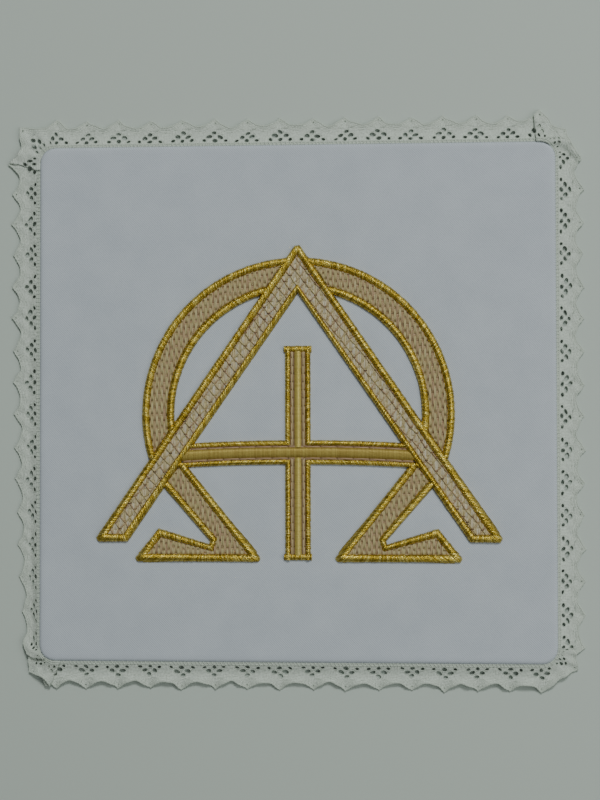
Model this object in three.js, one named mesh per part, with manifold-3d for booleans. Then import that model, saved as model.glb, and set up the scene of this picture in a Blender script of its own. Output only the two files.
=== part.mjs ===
// Chalice pall: a stiff square of white cloth, edged all round with cotton lace and embroidered
// in gold thread with a chevron, a horseshoe and a cross. It lies on its back, face up.
// Millimetres, +X to the right of the face, +Y to its top, +Z out of it.
import * as THREE from "three";
import { mergeVertices } from "three/addons/utils/BufferGeometryUtils.js";
import loadManifold from "manifold-3d";

const wasm = await loadManifold();
wasm.setup();

// Clearance between neighbouring pieces
const GAP = 0.3;

// Panel
const PANEL_SIDE = 160;
const PANEL_THICKNESS = 3;
const PANEL_CORNER_RADIUS = 5;
const PANEL_EDGE_ROUND = 1.2;

// Lace edging: reaches are measured out from the panel's edge
const LACE_THICKNESS = 1;
const LACE_SEAM_HEIGHT = 1;
const LACE_BODY_REACH = 4.8;
const LACE_NOTCH_REACH = 6.1;
const LACE_TOOTH_REACH = 8.5;
const LACE_BODY_DROP = 0.55;
const LACE_STRAIGHT_REPEATS = 15;
const LACE_CORNER_REPEATS = 2;
const LACE_STEPS_PER_REPEAT = 6;
const LACE_BODY_WAVE_SHARE = 0.5;
const LACE_EDGE_TUCK_SHARE = 0.6;
const LACE_SHIFT_FADE = 0.5;
const LACE_TUCK_SPREAD = 1;
const LACE_LONG_TOOTH_SPREAD = 0.45;
const LACE_WIDTH_BEND = 3;

// Going round from the bottom left corner. Shifts move the repeats along a side at its two ends, and
// widths are the shares of its full width that the lace shows there. At the side's far end the lace is
// gathered and lifted, its middle tooth is swung round by a share of the corner, and the teeth before,
// on and after the corner are longer or shorter than the rest.
const LACE_SIDES = [
  { side: "bottom", shift: [-1.2, 1.4], width: [1, 1], lift: 0.5, swing: 0.15, longer: [0, -0.6, -0.3] },
  { side: "right", shift: [0.3, 0.8], width: [1, 1], lift: 1.5, swing: 0, longer: [-0.6, -1.4, 1.4] },
  { side: "top", shift: [-1.8, 1.0], width: [1, 1], lift: 1.3, swing: 0, longer: [0.8, 2.4, 1.4] },
  { side: "left", shift: [-2.4, -1.3], width: [1.07, 0.6], lift: 1.0, swing: 0, longer: [0, 0.3, 0.4] },
];

// Slow waves in the height of the lace's free edge, counted round the whole edging
const LACE_WAVES = [
  { count: 5, height: 0.5, turn: 0.15 },
  { count: 13, height: 0.35, turn: 0.6 },
  { count: 37, height: 0.2, turn: 0.35 },
];

// Embroidery: where its middle line is, how far each kind of stitching stands up, and how far its
// edges are rounded
const MOTIF_X = 0.7;
const CORD = { width: 2.5, height: 1.2, round: 0.45 };
const CROSS_CORD = { width: 1.7, height: 1.1, round: 0.4 };
const FILL = { height: 0.6, round: 0.2 };
const SATIN = { height: 1.0, round: 0.4 };
const CORNER_TRIM = 1.2;
const REENTRANT_MITRE = 1.0;

// Chevron: two sloping legs that meet at a point
const CHEVRON_APEX_Y = 49.5;
const CHEVRON_FOOT_Y = -42.7;
const CHEVRON_HALF_SPAN = 63.2;
const CHEVRON_LEG_ACROSS = 10.4;

// Horseshoe: a ring behind the chevron, whose ends run into two splayed feet
const RING_CENTRE_Y = -3.4;
const RING_OUTER_RADIUS = 48.1;
const RING_INNER_RADIUS = 38.3;
const RING_START_DEGREES = 92;
const RING_END_DEGREES = 200;
const RING_STEPS = 10;
const FOOT_CORNERS = [
  { corner: "inner toe", x: -10.4, y: -48.8 },
  { corner: "leg's inner edge under the chevron", x: -36.3, y: -17 },
  { corner: "leg's outer edge under the chevron", x: -43.3, y: -23.5 },
  { corner: "instep, at the leg", x: -27.3, y: -41.2 },
  { corner: "instep, at the serif", x: -27.5, y: -42.9 },
  { corner: "serif", x: -43, y: -38.8 },
  { corner: "outer toe", x: -51.3, y: -48.8 },
];

// Cross: its bar runs from leg to leg of the chevron and over its post, and bows, so that its ends are
// lower than its middle
const POST_WIDTH = 7.6;
const POST_TOP_Y = 17.4;
const POST_BOTTOM_Y = -48.3;
const BAR_CENTRE_Y = -15.3;
const BAR_HEIGHT = 7.2;
const BAR_HALF_LENGTH = 40;
const BAR_BOW = 1.3;
const BAR_STEPS = 6;

const CLOTH = { color: 0xdfe3ea, roughness: 0.85, metalness: 0 };
const LACE = { color: 0xe6e8e0, roughness: 0.9, metalness: 0 };
const GOLD_CORD = { color: 0xc2972c, roughness: 0.35, metalness: 0.7 };
const GOLD_SATIN = { color: 0xcaa445, roughness: 0.4, metalness: 0.4 };
const TAN_THREAD = { color: 0xc9ae80, roughness: 0.6, metalness: 0.1 };

const pall = new THREE.Group();
const embroidery = new THREE.Group();
embroidery.position.set(MOTIF_X, 0, PANEL_THICKNESS + GAP);
pall.add(embroidery);

function addPiece(parent, name, geometry, finish) {
  const mesh = new THREE.Mesh(geometry, new THREE.MeshStandardMaterial(finish));
  mesh.name = name;
  parent.add(mesh);
}

function toSolid(geometry) {
  const bare = geometry.clone();
  bare.deleteAttribute("normal");
  bare.deleteAttribute("uv");
  const merged = mergeVertices(bare);
  const vertProperties = new Float32Array(merged.attributes.position.array);
  const triVerts = new Uint32Array(merged.index.array);
  return new wasm.Manifold(new wasm.Mesh({ numProp: 3, vertProperties, triVerts }));
}

function toGeometry(solid) {
  const { vertProperties, triVerts } = solid.getMesh();
  const geometry = new THREE.BufferGeometry();
  geometry.setAttribute("position", new THREE.BufferAttribute(vertProperties, 3));
  geometry.setIndex(new THREE.BufferAttribute(triVerts, 1));
  geometry.computeVertexNormals();
  return geometry;
}

// Cuts clear of each of the cutters, which are closed geometries.
function cutClear(geometry, cutters) {
  const cut = cutters.reduce((solid, cutter) => solid.subtract(toSolid(cutter)), toSolid(geometry));
  return toGeometry(cut);
}

// Moves each edge of an anticlockwise outline inwards, or outwards for a negative distance.
function inset(points, distance) {
  return points.map((corner, i) => {
    const before = points.at(i - 1);
    const after = points[(i + 1) % points.length];
    const arriving = corner.clone().sub(before).normalize();
    const leaving = after.clone().sub(corner).normalize();
    const mitre = new THREE.Vector2(-arriving.y - leaving.y, arriving.x + leaving.x);
    const reentrant = arriving.cross(leaving) < 0;
    const stretch = reentrant ? Math.min(2 / mitre.length(), REENTRANT_MITRE) : 2 / mitre.length();
    return corner.clone().addScaledVector(mitre.normalize(), stretch * distance);
  });
}

// Takes the tips off an outline's sharp outward corners.
function trimSharpCorners(points, cut) {
  return points.flatMap((corner, i) => {
    const neighbours = [points.at(i - 1), points[(i + 1) % points.length]];
    const arriving = corner.clone().sub(neighbours[0]);
    const leaving = neighbours[1].clone().sub(corner);
    const sharp = arriving.cross(leaving) > 0 && arriving.dot(leaving) < 0;
    const trimmed = neighbours.map((next) => corner.clone().lerp(next, cut / corner.distanceTo(next)));
    return sharp ? trimmed : [corner];
  });
}

// Stitching of one kind over an outline, lying on z = 0 with its edges rounded.
function stitching(shape, kind) {
  const geometry = new THREE.ExtrudeGeometry(shape, {
    depth: kind.height - 2 * kind.round,
    bevelThickness: kind.round,
    bevelSize: kind.round,
    bevelOffset: -kind.round,
    bevelSegments: 2,
    curveSegments: RING_STEPS,
  });
  return geometry.translate(0, 0, kind.round);
}

// A tall block over an outline grown by the clearance, to cut what passes under that outline.
function clearance(points) {
  const block = { depth: 4 * CORD.height, bevelEnabled: false };
  const geometry = new THREE.ExtrudeGeometry(new THREE.Shape(inset(points, -GAP)), block);
  return geometry.translate(0, 0, -CORD.height);
}

function mirrored(geometry) {
  const copy = geometry.clone().scale(-1, 1, 1);
  const index = copy.index.array;
  for (let i = 0; i < index.length; i += 3) {
    [index[i], index[i + 1]] = [index[i + 1], index[i]];
  }
  copy.computeVertexNormals();
  return copy;
}

function rectangle(left, bottom, right, top) {
  return [[left, bottom], [right, bottom], [right, top], [left, top]].map((p) => new THREE.Vector2(...p));
}

// Panel
function panelGeometry() {
  const half = PANEL_SIDE / 2 - PANEL_EDGE_ROUND;
  const radius = PANEL_CORNER_RADIUS - PANEL_EDGE_ROUND;
  const far = half - radius;
  const shape = new THREE.Shape();
  shape.absarc(far, far, radius, 0, Math.PI / 2);
  shape.absarc(-far, far, radius, Math.PI / 2, Math.PI);
  shape.absarc(-far, -far, radius, Math.PI, 1.5 * Math.PI);
  shape.absarc(far, -far, radius, 1.5 * Math.PI, 2 * Math.PI);
  shape.closePath();
  const geometry = new THREE.ExtrudeGeometry(shape, {
    depth: PANEL_THICKNESS - 2 * PANEL_EDGE_ROUND,
    bevelThickness: PANEL_EDGE_ROUND,
    bevelSize: PANEL_EDGE_ROUND,
    bevelSegments: 4,
    curveSegments: 4,
  });
  return geometry.translate(0, 0, PANEL_EDGE_ROUND);
}

// Where the lace's seam runs: along each straight side, then gathered round its far corner.
const laceSideRepeats = LACE_STRAIGHT_REPEATS + LACE_CORNER_REPEATS;
const laceRepeats = laceSideRepeats * LACE_SIDES.length;

function seamPlace(repeat) {
  const sideIndex = Math.floor(repeat / laceSideRepeats);
  const { shift, swing } = LACE_SIDES[sideIndex];
  const along = repeat - sideIndex * laceSideRepeats;
  const half = PANEL_SIDE / 2;
  const far = half - PANEL_CORNER_RADIUS;
  const place = new THREE.Vector2();
  const outward = new THREE.Vector2();
  if (along <= LACE_STRAIGHT_REPEATS) {
    const share = along / LACE_STRAIGHT_REPEATS;
    const fade = Math.sin(Math.PI * share) ** LACE_SHIFT_FADE;
    const moved = THREE.MathUtils.lerp(...shift, share) * fade;
    outward.set(0, -1);
    place.set(THREE.MathUtils.lerp(-far, far, share) + moved, -half - GAP);
  } else {
    const share = (along - LACE_STRAIGHT_REPEATS) / LACE_CORNER_REPEATS;
    const turn = ((share + 4 * swing * share * (1 - share)) * Math.PI) / 2;
    outward.set(Math.sin(turn), -Math.cos(turn));
    place.set(far, -far).addScaledVector(outward, PANEL_CORNER_RADIUS + GAP);
  }
  const quarter = (sideIndex * Math.PI) / 2;
  const middle = new THREE.Vector2();
  return { place: place.rotateAround(middle, quarter), outward: outward.rotateAround(middle, quarter) };
}

// The share of its full width that the lace shows at one place round the edging.
function laceWidth(repeat) {
  const sideIndex = Math.floor(repeat / laceSideRepeats);
  const [start, end] = LACE_SIDES[sideIndex].width;
  const next = LACE_SIDES[(sideIndex + 1) % LACE_SIDES.length].width[0];
  const along = repeat - sideIndex * laceSideRepeats;
  if (along <= LACE_STRAIGHT_REPEATS) {
    return THREE.MathUtils.lerp(start, end, (along / LACE_STRAIGHT_REPEATS) ** LACE_WIDTH_BEND);
  }
  return THREE.MathUtils.lerp(end, next, (along - LACE_STRAIGHT_REPEATS) / LACE_CORNER_REPEATS);
}

// A smooth bump of height 1 that fades over its spread on both sides.
function bell(away, spread) {
  return Math.exp(-((away / spread) ** 2));
}

// How much the nearest corner lifts the lace, and how much longer its teeth are.
function cornerTuck(repeat) {
  let lift = 0;
  let longer = 0;
  LACE_SIDES.forEach((row, i) => {
    const corner = (i + 1) * laceSideRepeats - LACE_CORNER_REPEATS / 2;
    const half = laceRepeats / 2;
    const away = THREE.MathUtils.euclideanModulo(repeat - corner + half, laceRepeats) - half;
    lift += row.lift * bell(away, LACE_TUCK_SPREAD);
    row.longer.forEach((length, tooth) => {
      longer += length * bell(away - tooth + 1, LACE_LONG_TOOTH_SPREAD);
    });
  });
  return { lift, longer };
}

// The section at one place round the edging: its seam, its body and its scalloped free edge.
function laceSection(repeat) {
  const { place, outward } = seamPlace(repeat);
  const { lift, longer } = cornerTuck(repeat);
  const width = laceWidth(repeat);
  const turnsRound = repeat / laceRepeats;
  const wave = LACE_WAVES.reduce((sum, { count, height, turn }) => {
    return sum + (height * (1 + Math.sin(2 * Math.PI * (count * turnsRound + turn)))) / 2;
  }, 0);
  const scallop = Math.sin(Math.PI * (repeat % 1));
  const edgeReach = LACE_TOOTH_REACH + longer - (LACE_TOOTH_REACH - LACE_NOTCH_REACH) * scallop;
  const bodyHeight = LACE_SEAM_HEIGHT - LACE_BODY_DROP + LACE_BODY_WAVE_SHARE * wave + lift;
  const rows = [
    { reach: GAP, height: LACE_SEAM_HEIGHT },
    { reach: LACE_BODY_REACH * width, height: bodyHeight },
    { reach: edgeReach * width, height: wave + LACE_EDGE_TUCK_SHARE * lift },
  ];
  const under = rows.map(({ reach, height }) => {
    const point = place.clone().addScaledVector(outward, reach - GAP);
    return new THREE.Vector3(point.x, point.y, height);
  });
  const over = under.map((point) => point.clone().add(new THREE.Vector3(0, 0, LACE_THICKNESS)));
  return [...under, ...over.reverse()];
}

// A closed ring through sections that all have the same number of points.
function ringGeometry(sections) {
  const size = sections[0].length;
  const index = [];
  sections.forEach((_, i) => {
    const next = (i + 1) % sections.length;
    for (let j = 0; j < size; j += 1) {
      const beside = (j + 1) % size;
      const here = [i * size + j, i * size + beside];
      const there = [next * size + j, next * size + beside];
      index.push(here[0], there[0], here[1], here[1], there[0], there[1]);
    }
  });
  const geometry = new THREE.BufferGeometry().setFromPoints(sections.flat());
  geometry.setIndex(index);
  geometry.computeVertexNormals();
  return geometry;
}

function laceGeometry() {
  const count = laceRepeats * LACE_STEPS_PER_REPEAT;
  const sections = Array.from({ length: count }, (_, i) => laceSection(i / LACE_STEPS_PER_REPEAT));
  return ringGeometry(sections);
}

// Chevron
const chevronSlope = CHEVRON_HALF_SPAN / (CHEVRON_APEX_Y - CHEVRON_FOOT_Y);
const chevronInnerApexY = CHEVRON_APEX_Y - CHEVRON_LEG_ACROSS / chevronSlope;
const chevronInnerHalfSpan = CHEVRON_HALF_SPAN - CHEVRON_LEG_ACROSS;
const chevron = [
  new THREE.Vector2(0, CHEVRON_APEX_Y),
  new THREE.Vector2(-CHEVRON_HALF_SPAN, CHEVRON_FOOT_Y),
  new THREE.Vector2(-chevronInnerHalfSpan, CHEVRON_FOOT_Y),
  new THREE.Vector2(0, chevronInnerApexY),
  new THREE.Vector2(chevronInnerHalfSpan, CHEVRON_FOOT_Y),
  new THREE.Vector2(CHEVRON_HALF_SPAN, CHEVRON_FOOT_Y),
];

// A cord that runs round just inside an outline, and a fill inside that cord.
function cordedOutline(points) {
  const shape = new THREE.Shape(trimSharpCorners(points, CORNER_TRIM));
  shape.holes.push(new THREE.Path(inset(points, CORD.width)));
  const fill = new THREE.Shape(inset(points, CORD.width + GAP));
  return { cord: stitching(shape, CORD), fill: stitching(fill, FILL) };
}

// One half of the ring between two radii
function ringBand(innerRadius, outerRadius, kind) {
  const start = THREE.MathUtils.degToRad(RING_START_DEGREES);
  const end = THREE.MathUtils.degToRad(RING_END_DEGREES);
  const shape = new THREE.Shape();
  shape.absarc(0, RING_CENTRE_Y, outerRadius, start, end);
  shape.absarc(0, RING_CENTRE_Y, innerRadius, end, start, true);
  shape.closePath();
  return stitching(shape, kind);
}

// A run of points along the bar, at one height in its middle.
function barRun(fromX, toX, middleY) {
  const straight = POST_WIDTH / 2;
  return Array.from({ length: BAR_STEPS + 1 }, (_, i) => {
    const x = THREE.MathUtils.lerp(fromX, toX, i / BAR_STEPS);
    const beyond = Math.max(Math.abs(x) - straight, 0) / (BAR_HALF_LENGTH - straight);
    return new THREE.Vector2(x, middleY - BAR_BOW * beyond ** 2);
  });
}

// The outline of a band along the whole bar.
function barBand(bottomY, topY) {
  return [-1, 1].flatMap((way) => {
    const y = way < 0 ? bottomY : topY;
    const half = [barRun(way * BAR_HALF_LENGTH, 0, y), barRun(0, -way * BAR_HALF_LENGTH, y).slice(1)];
    return half.flat();
  });
}

// The cross's edging on one side of its bar: along the bar, round the end of the post and back.
function crossCord(barEdgeY, postEndY) {
  const inwards = Math.sign(barEdgeY - postEndY) * CROSS_CORD.width;
  const half = POST_WIDTH / 2;
  const halfInside = half - CROSS_CORD.width;
  const corners = [
    ...barRun(-BAR_HALF_LENGTH, -half, barEdgeY),
    new THREE.Vector2(-half, postEndY),
    new THREE.Vector2(half, postEndY),
    ...barRun(half, BAR_HALF_LENGTH, barEdgeY),
    ...barRun(BAR_HALF_LENGTH, halfInside, barEdgeY + inwards),
    new THREE.Vector2(halfInside, postEndY + inwards),
    new THREE.Vector2(-halfInside, postEndY + inwards),
    ...barRun(-halfInside, -BAR_HALF_LENGTH, barEdgeY + inwards),
  ];
  return stitching(new THREE.Shape(corners), CROSS_CORD);
}

addPiece(pall, "panel", panelGeometry(), CLOTH);
addPiece(pall, "lace_edging", laceGeometry(), LACE);

const chevronPieces = cordedOutline(chevron);
addPiece(embroidery, "chevron_cord", chevronPieces.cord, GOLD_CORD);
addPiece(embroidery, "chevron_fill", chevronPieces.fill, TAN_THREAD);

const barTopY = BAR_CENTRE_Y + BAR_HEIGHT / 2;
const barBottomY = BAR_CENTRE_Y - BAR_HEIGHT / 2;
const underChevron = [clearance(chevron)];
const underBar = clearance(barBand(barBottomY, barTopY));
const footPieces = cordedOutline(FOOT_CORNERS.map(({ x, y }) => new THREE.Vector2(x, y)));
const ringFillInset = CORD.width + GAP;
const horseshoePieces = [
  {
    piece: "ring_outer_cord",
    geometry: ringBand(RING_OUTER_RADIUS - CORD.width, RING_OUTER_RADIUS, CORD),
    cutters: underChevron,
    finish: GOLD_CORD,
  },
  {
    piece: "ring_inner_cord",
    geometry: ringBand(RING_INNER_RADIUS, RING_INNER_RADIUS + CORD.width, CORD),
    cutters: underChevron,
    finish: GOLD_CORD,
  },
  {
    piece: "ring_fill",
    geometry: ringBand(RING_INNER_RADIUS + ringFillInset, RING_OUTER_RADIUS - ringFillInset, FILL),
    cutters: underChevron,
    finish: TAN_THREAD,
  },
  {
    piece: "foot_cord",
    geometry: footPieces.cord,
    cutters: [...underChevron, underBar],
    finish: GOLD_CORD,
  },
  {
    piece: "foot_fill",
    geometry: footPieces.fill,
    cutters: [...underChevron, underBar],
    finish: TAN_THREAD,
  },
];
horseshoePieces.forEach(({ piece, geometry, cutters, finish }) => {
  const left = cutClear(geometry, cutters);
  addPiece(embroidery, `horseshoe_${piece}_left`, left, finish);
  addPiece(embroidery, `horseshoe_${piece}_right`, mirrored(left), finish);
});

const crossPieces = [
  { piece: "cord_upper", geometry: crossCord(barTopY, POST_TOP_Y), finish: GOLD_CORD },
  { piece: "cord_lower", geometry: crossCord(barBottomY, POST_BOTTOM_Y), finish: GOLD_CORD },
];
const satinEdge = CROSS_CORD.width + GAP;
const satinHalf = POST_WIDTH / 2 - satinEdge;
const barSatinTopY = barTopY - satinEdge;
const barSatinBottomY = barBottomY + satinEdge;
const satinFootY = POST_BOTTOM_Y + satinEdge;
const postSatin = (bottomY, topY) => rectangle(-satinHalf, bottomY, satinHalf, topY);
const satinOutlines = [
  { piece: "bar_satin", outline: barBand(barSatinBottomY, barSatinTopY) },
  { piece: "post_satin_upper", outline: postSatin(barSatinTopY + GAP, POST_TOP_Y - satinEdge) },
  { piece: "post_satin_lower", outline: postSatin(satinFootY, barSatinBottomY - GAP) },
];
satinOutlines.forEach(({ piece, outline }) => {
  crossPieces.push({ piece, geometry: stitching(new THREE.Shape(outline), SATIN), finish: GOLD_SATIN });
});
crossPieces.forEach(({ piece, geometry, finish }) => {
  addPiece(embroidery, `cross_${piece}`, cutClear(geometry, underChevron), finish);
});

export default pall;
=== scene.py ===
import logging
import math
from collections.abc import Callable
from dataclasses import dataclass, field, replace
from enum import Enum

import bmesh
import bpy
import numpy as np
from mathutils import Matrix, Vector
from mathutils.geometry import delaunay_2d_cdt


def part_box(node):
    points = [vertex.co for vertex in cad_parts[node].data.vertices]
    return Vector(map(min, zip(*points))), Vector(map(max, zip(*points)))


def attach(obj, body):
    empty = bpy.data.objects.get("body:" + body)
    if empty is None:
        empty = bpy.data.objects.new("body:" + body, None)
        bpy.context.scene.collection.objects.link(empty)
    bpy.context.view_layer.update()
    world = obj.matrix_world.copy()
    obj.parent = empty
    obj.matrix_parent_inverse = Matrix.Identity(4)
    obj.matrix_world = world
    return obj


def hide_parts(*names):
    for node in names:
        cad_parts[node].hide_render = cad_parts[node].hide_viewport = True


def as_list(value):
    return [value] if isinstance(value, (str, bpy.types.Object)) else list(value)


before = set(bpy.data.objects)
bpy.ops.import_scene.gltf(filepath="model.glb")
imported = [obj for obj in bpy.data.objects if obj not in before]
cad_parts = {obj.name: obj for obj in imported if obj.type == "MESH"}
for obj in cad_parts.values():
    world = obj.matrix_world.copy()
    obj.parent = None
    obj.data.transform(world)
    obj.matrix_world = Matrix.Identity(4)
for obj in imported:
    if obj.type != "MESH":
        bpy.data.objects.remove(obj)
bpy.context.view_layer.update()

LOG = logging.getLogger("chalice_pall")
BODY = "root"
MM = 0.001
NEAR = 1e-4
TURN = 2 * math.pi
SEED = 20
THREAD_SIDES = 6
THREAD_CAPS = ((0, 1, 2, 3), (0, 3, 4, 5))

Array = np.ndarray
Chance = np.random.Generator
Colour = tuple[float, float, float, float]
Material = bpy.types.Material
Piece = bpy.types.Object
Region = Callable[[Array, Array], Array]
Socket = bpy.types.NodeSocket
Stretch = tuple[Array, Array]
Table = tuple[tuple[float, ...], ...]


class Slot(Enum):
    """The finishes that the pall is made in, by the record's names."""

    CLOTH = "panel_cloth"
    LACE = "lace_cotton"
    CORD = "gold_cord"
    SATIN = "gold_satin"
    TAN = "tan_thread"


class Run(Enum):
    """Which way the threads of a fill run on the face."""

    UP = (1, 0)
    ACROSS = (0, 1)


class Ribs(Enum):
    """Which way the bands of a weave step, with how closely the wave texture sets them."""

    X = ("X", 20)
    Y = ("Y", 20)
    DIAGONAL = ("DIAGONAL", 10)


class Half(Enum):
    """The halves of the motif, by the sign that mirrors the left one."""

    LEFT = 1
    RIGHT = -1


def linear(red: int, green: int, blue: int) -> Colour:
    """Returns the linear colour of a screen's red, green and blue, which go up to 255."""
    parts = (np.array([red, green, blue]) / 255) ** 2.2
    return (*(float(part) for part in parts), 1.0)


def bell(away: Array, spread: float) -> Array:
    """Returns 1 at no distance away, falling softly to 0 past a spread."""
    return np.exp(-((away / spread) ** 2))


def soft_step(past: Array, softness: float, size: float) -> Array:
    """Returns a soft step up to a size, at distances past its middle."""
    return size / (1 + np.exp(-past / softness))


class Shader:
    """A material's node tree, with short calls to fill it."""

    def __init__(self, name: str) -> None:
        """Starts a material that holds one Principled shader.

        Args:
            name: the material's name.
        """
        self.material = bpy.data.materials.new(name)
        self.material.use_nodes = True
        self.nodes = self.material.node_tree.nodes
        self.shader = self.nodes["Principled BSDF"]

    def set(self, **values: float | Colour) -> None:
        """Sets the Principled shader's own sockets, with _ for a space in a name."""
        for name, value in values.items():
            self.shader.inputs[name.replace("_", " ")].default_value = value

    def node(
        self, kind: str, inputs: dict[str | int, object] | None = None, **settings: object
    ) -> bpy.types.Node:
        """Adds a node.

        Args:
            kind: the node's type.
            inputs: values, or output sockets to link, by the input's name or number.
            settings: the node's own properties.

        Returns:
            The new node.
        """
        node = self.nodes.new(kind)
        for name, value in settings.items():
            setattr(node, name, value)
        for name, value in (inputs or {}).items():
            if isinstance(value, Socket):
                self.link(value, node.inputs[name])
            else:
                node.inputs[name].default_value = value
        return node

    def link(self, source: Socket, target: Socket | str) -> None:
        """Links an output to an input.

        Args:
            source: the output.
            target: the input, or the name of the Principled shader's input.
        """
        if isinstance(target, str):
            target = self.shader.inputs[target]
        self.material.node_tree.links.new(source, target)

    def millimetres(self) -> Socket:
        """Returns the object's own coordinates, counted in millimetres."""
        place = self.node("ShaderNodeTexCoord").outputs["Object"]
        return self.node("ShaderNodeMapping", {"Vector": place, "Scale": (1 / MM,) * 3}).outputs[0]

    def noise(self, vector: Socket, size: float, detail: float = 2) -> Socket:
        """Returns noise whose grains are about size millimetres across."""
        node = self.node("ShaderNodeTexNoise", {"Vector": vector, "Scale": 1 / size, "Detail": detail})
        return node.outputs["Fac"]

    def bands(self, vector: Socket, pitch: float, ribs: Ribs) -> Socket:
        """Makes smooth, slightly uneven bands.

        Args:
            vector: the coordinates to read, in millimetres.
            pitch: the spacing of the bands.
            ribs: the way that they step.

        Returns:
            The height of the bands, from 0 to 1.
        """
        axis, closeness = ribs.value
        scale = TURN / (closeness * pitch)
        inputs = {"Vector": vector, "Scale": scale, "Distortion": 0.6, "Detail": 1.0, "Detail Scale": 0.4}
        return self.node("ShaderNodeTexWave", inputs, bands_direction=axis).outputs["Fac"]

    def mix(self, first: Socket, second: Socket, share: float) -> Socket:
        """Blends two values.

        Args:
            first: the first value.
            second: the second value.
            share: the share of the second.

        Returns:
            The blended value.
        """
        scaled = self.node("ShaderNodeMath", {0: second, 1: share}, operation="MULTIPLY").outputs[0]
        terms = {0: first, 1: 1 - share, 2: scaled}
        return self.node("ShaderNodeMath", terms, operation="MULTIPLY_ADD").outputs[0]

    def ramp(self, value: Socket, stops: dict[float, Colour]) -> None:
        """Colours the surface by a value.

        Args:
            value: the value to read.
            stops: the colour at each place from 0 to 1.
        """
        node = self.node("ShaderNodeValToRGB", {"Fac": value})
        elements = node.color_ramp.elements
        while len(elements) < len(stops):
            elements.new(0.5)
        for element, (place, colour) in zip(elements, sorted(stops.items())):
            element.position = place
            element.color = colour
        self.link(node.outputs["Color"], "Base Color")

    def bump(self, height: Socket, depth: float, strength: float) -> None:
        """Raises the surface by a value, to a depth in millimetres."""
        node = self.node("ShaderNodeBump", {"Height": height, "Strength": strength, "Distance": depth * MM})
        self.link(node.outputs["Normal"], "Normal")


@dataclass(frozen=True)
class TwillCloth:
    """Fine white twill, a little blue, with a soft nap."""

    pale: Colour = linear(217, 224, 233)
    deep: Colour = linear(195, 202, 213)
    rib: float = 0.72
    yarn: float = 0.35
    yarn_share: float = 0.45
    cloud: float = 9.0
    cloud_share: float = 0.4
    relief: float = 0.12

    def material(self) -> Material:
        """Makes the cloth's material, with the twill's ribs raised.

        Returns:
            The material.
        """
        shader = Shader("white_twill")
        place = shader.millimetres()
        twill = shader.bands(place, self.rib, Ribs.DIAGONAL)
        weave = shader.mix(twill, shader.noise(place, self.yarn, 3), self.yarn_share)
        clouded = shader.mix(weave, shader.noise(place, self.cloud), self.cloud_share)
        shader.ramp(clouded, {0.2: self.deep, 0.75: self.pale})
        shader.bump(weave, self.relief, 0.65)
        shader.set(Roughness=0.85, Sheen_Weight=0.25, Sheen_Roughness=0.5, Specular_IOR_Level=0.25)
        return shader.material


@dataclass(frozen=True)
class LaceCotton:
    """Matte off-white cotton thread, closely twisted."""

    pale: Colour = linear(237, 246, 235)
    deep: Colour = linear(202, 211, 199)
    thread: float = 0.42
    lump: float = 0.8
    lump_share: float = 0.6
    relief: float = 0.4

    def material(self) -> Material:
        """Makes the lace's material, with crossing threads raised along the strip.

        Returns:
            The material.
        """
        shader = Shader("lace_cotton")
        strip = shader.node("ShaderNodeUVMap", uv_map="strip").outputs[0]
        lengthwise = shader.bands(strip, self.thread, Ribs.Y)
        crosswise = shader.bands(strip, self.thread, Ribs.X)
        threads = shader.mix(lengthwise, crosswise, 0.5)
        woven = shader.mix(threads, shader.noise(strip, self.lump, 3), self.lump_share)
        shader.ramp(woven, {0.25: self.deep, 0.6: self.pale})
        shader.bump(woven, self.relief, 0.9)
        shader.set(Roughness=0.9, Sheen_Weight=0.2, Specular_IOR_Level=0.2)
        return shader.material


@dataclass(frozen=True)
class StitchThread:
    """A thread whose stitches differ a little in shade, by the stitch's own tone."""

    name: str
    stops: tuple[tuple[float, Colour], ...]
    metallic: float
    roughness: float
    grain: float
    grain_share: float
    relief: float

    def material(self) -> Material:
        """Makes the thread's material, with its grain raised.

        Returns:
            The material.
        """
        shader = Shader(self.name)
        tone = shader.node("ShaderNodeAttribute", attribute_name="tone").outputs["Fac"]
        grain = shader.noise(shader.millimetres(), self.grain, 3)
        shader.ramp(shader.mix(tone, grain, self.grain_share), dict(self.stops))
        shader.bump(grain, self.relief, 0.9)
        shader.set(Metallic=self.metallic, Roughness=self.roughness)
        return shader.material


GLITTERING_GOLD = StitchThread(
    name="glittering_gold_thread",
    stops=((0.3, linear(142, 116, 40)), (0.5, linear(212, 182, 70)), (0.7, linear(252, 236, 146))),
    metallic=0.95,
    roughness=0.34,
    grain=0.32,
    grain_share=0.75,
    relief=0.14,
)
SMOOTH_GOLD = StitchThread(
    name="smooth_gold_thread",
    stops=((0.1, linear(150, 120, 48)), (0.5, linear(206, 186, 100)), (0.9, linear(230, 212, 138))),
    metallic=0.4,
    roughness=0.4,
    grain=0.5,
    grain_share=0.25,
    relief=0.03,
)
SILKY_TAN = StitchThread(
    name="silky_tan_thread",
    stops=(
        (0.0, linear(66, 50, 44)),
        (0.15, linear(132, 102, 76)),
        (0.34, linear(194, 162, 130)),
        (0.54, linear(204, 190, 138)),
        (0.75, linear(216, 200, 160)),
        (1.0, linear(226, 222, 208)),
    ),
    metallic=0.1,
    roughness=0.5,
    grain=0.5,
    grain_share=0.12,
    relief=0.03,
)


def adopt(piece: Piece, slot: Slot, material: Material, nodes: tuple[str, ...] = ()) -> None:
    """Gives a finished piece its finish, and ties it to the frame.

    Args:
        piece: the piece, already in place.
        slot: the finish's name in the record; not used.
        material: the finish.
        nodes: the solids that the piece stands for.
    """
    piece.data.materials.append(material)
    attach(piece, BODY)
    if nodes:
        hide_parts(*nodes)
    LOG.info("%s: %d faces", piece.name, len(piece.data.polygons))


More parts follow.
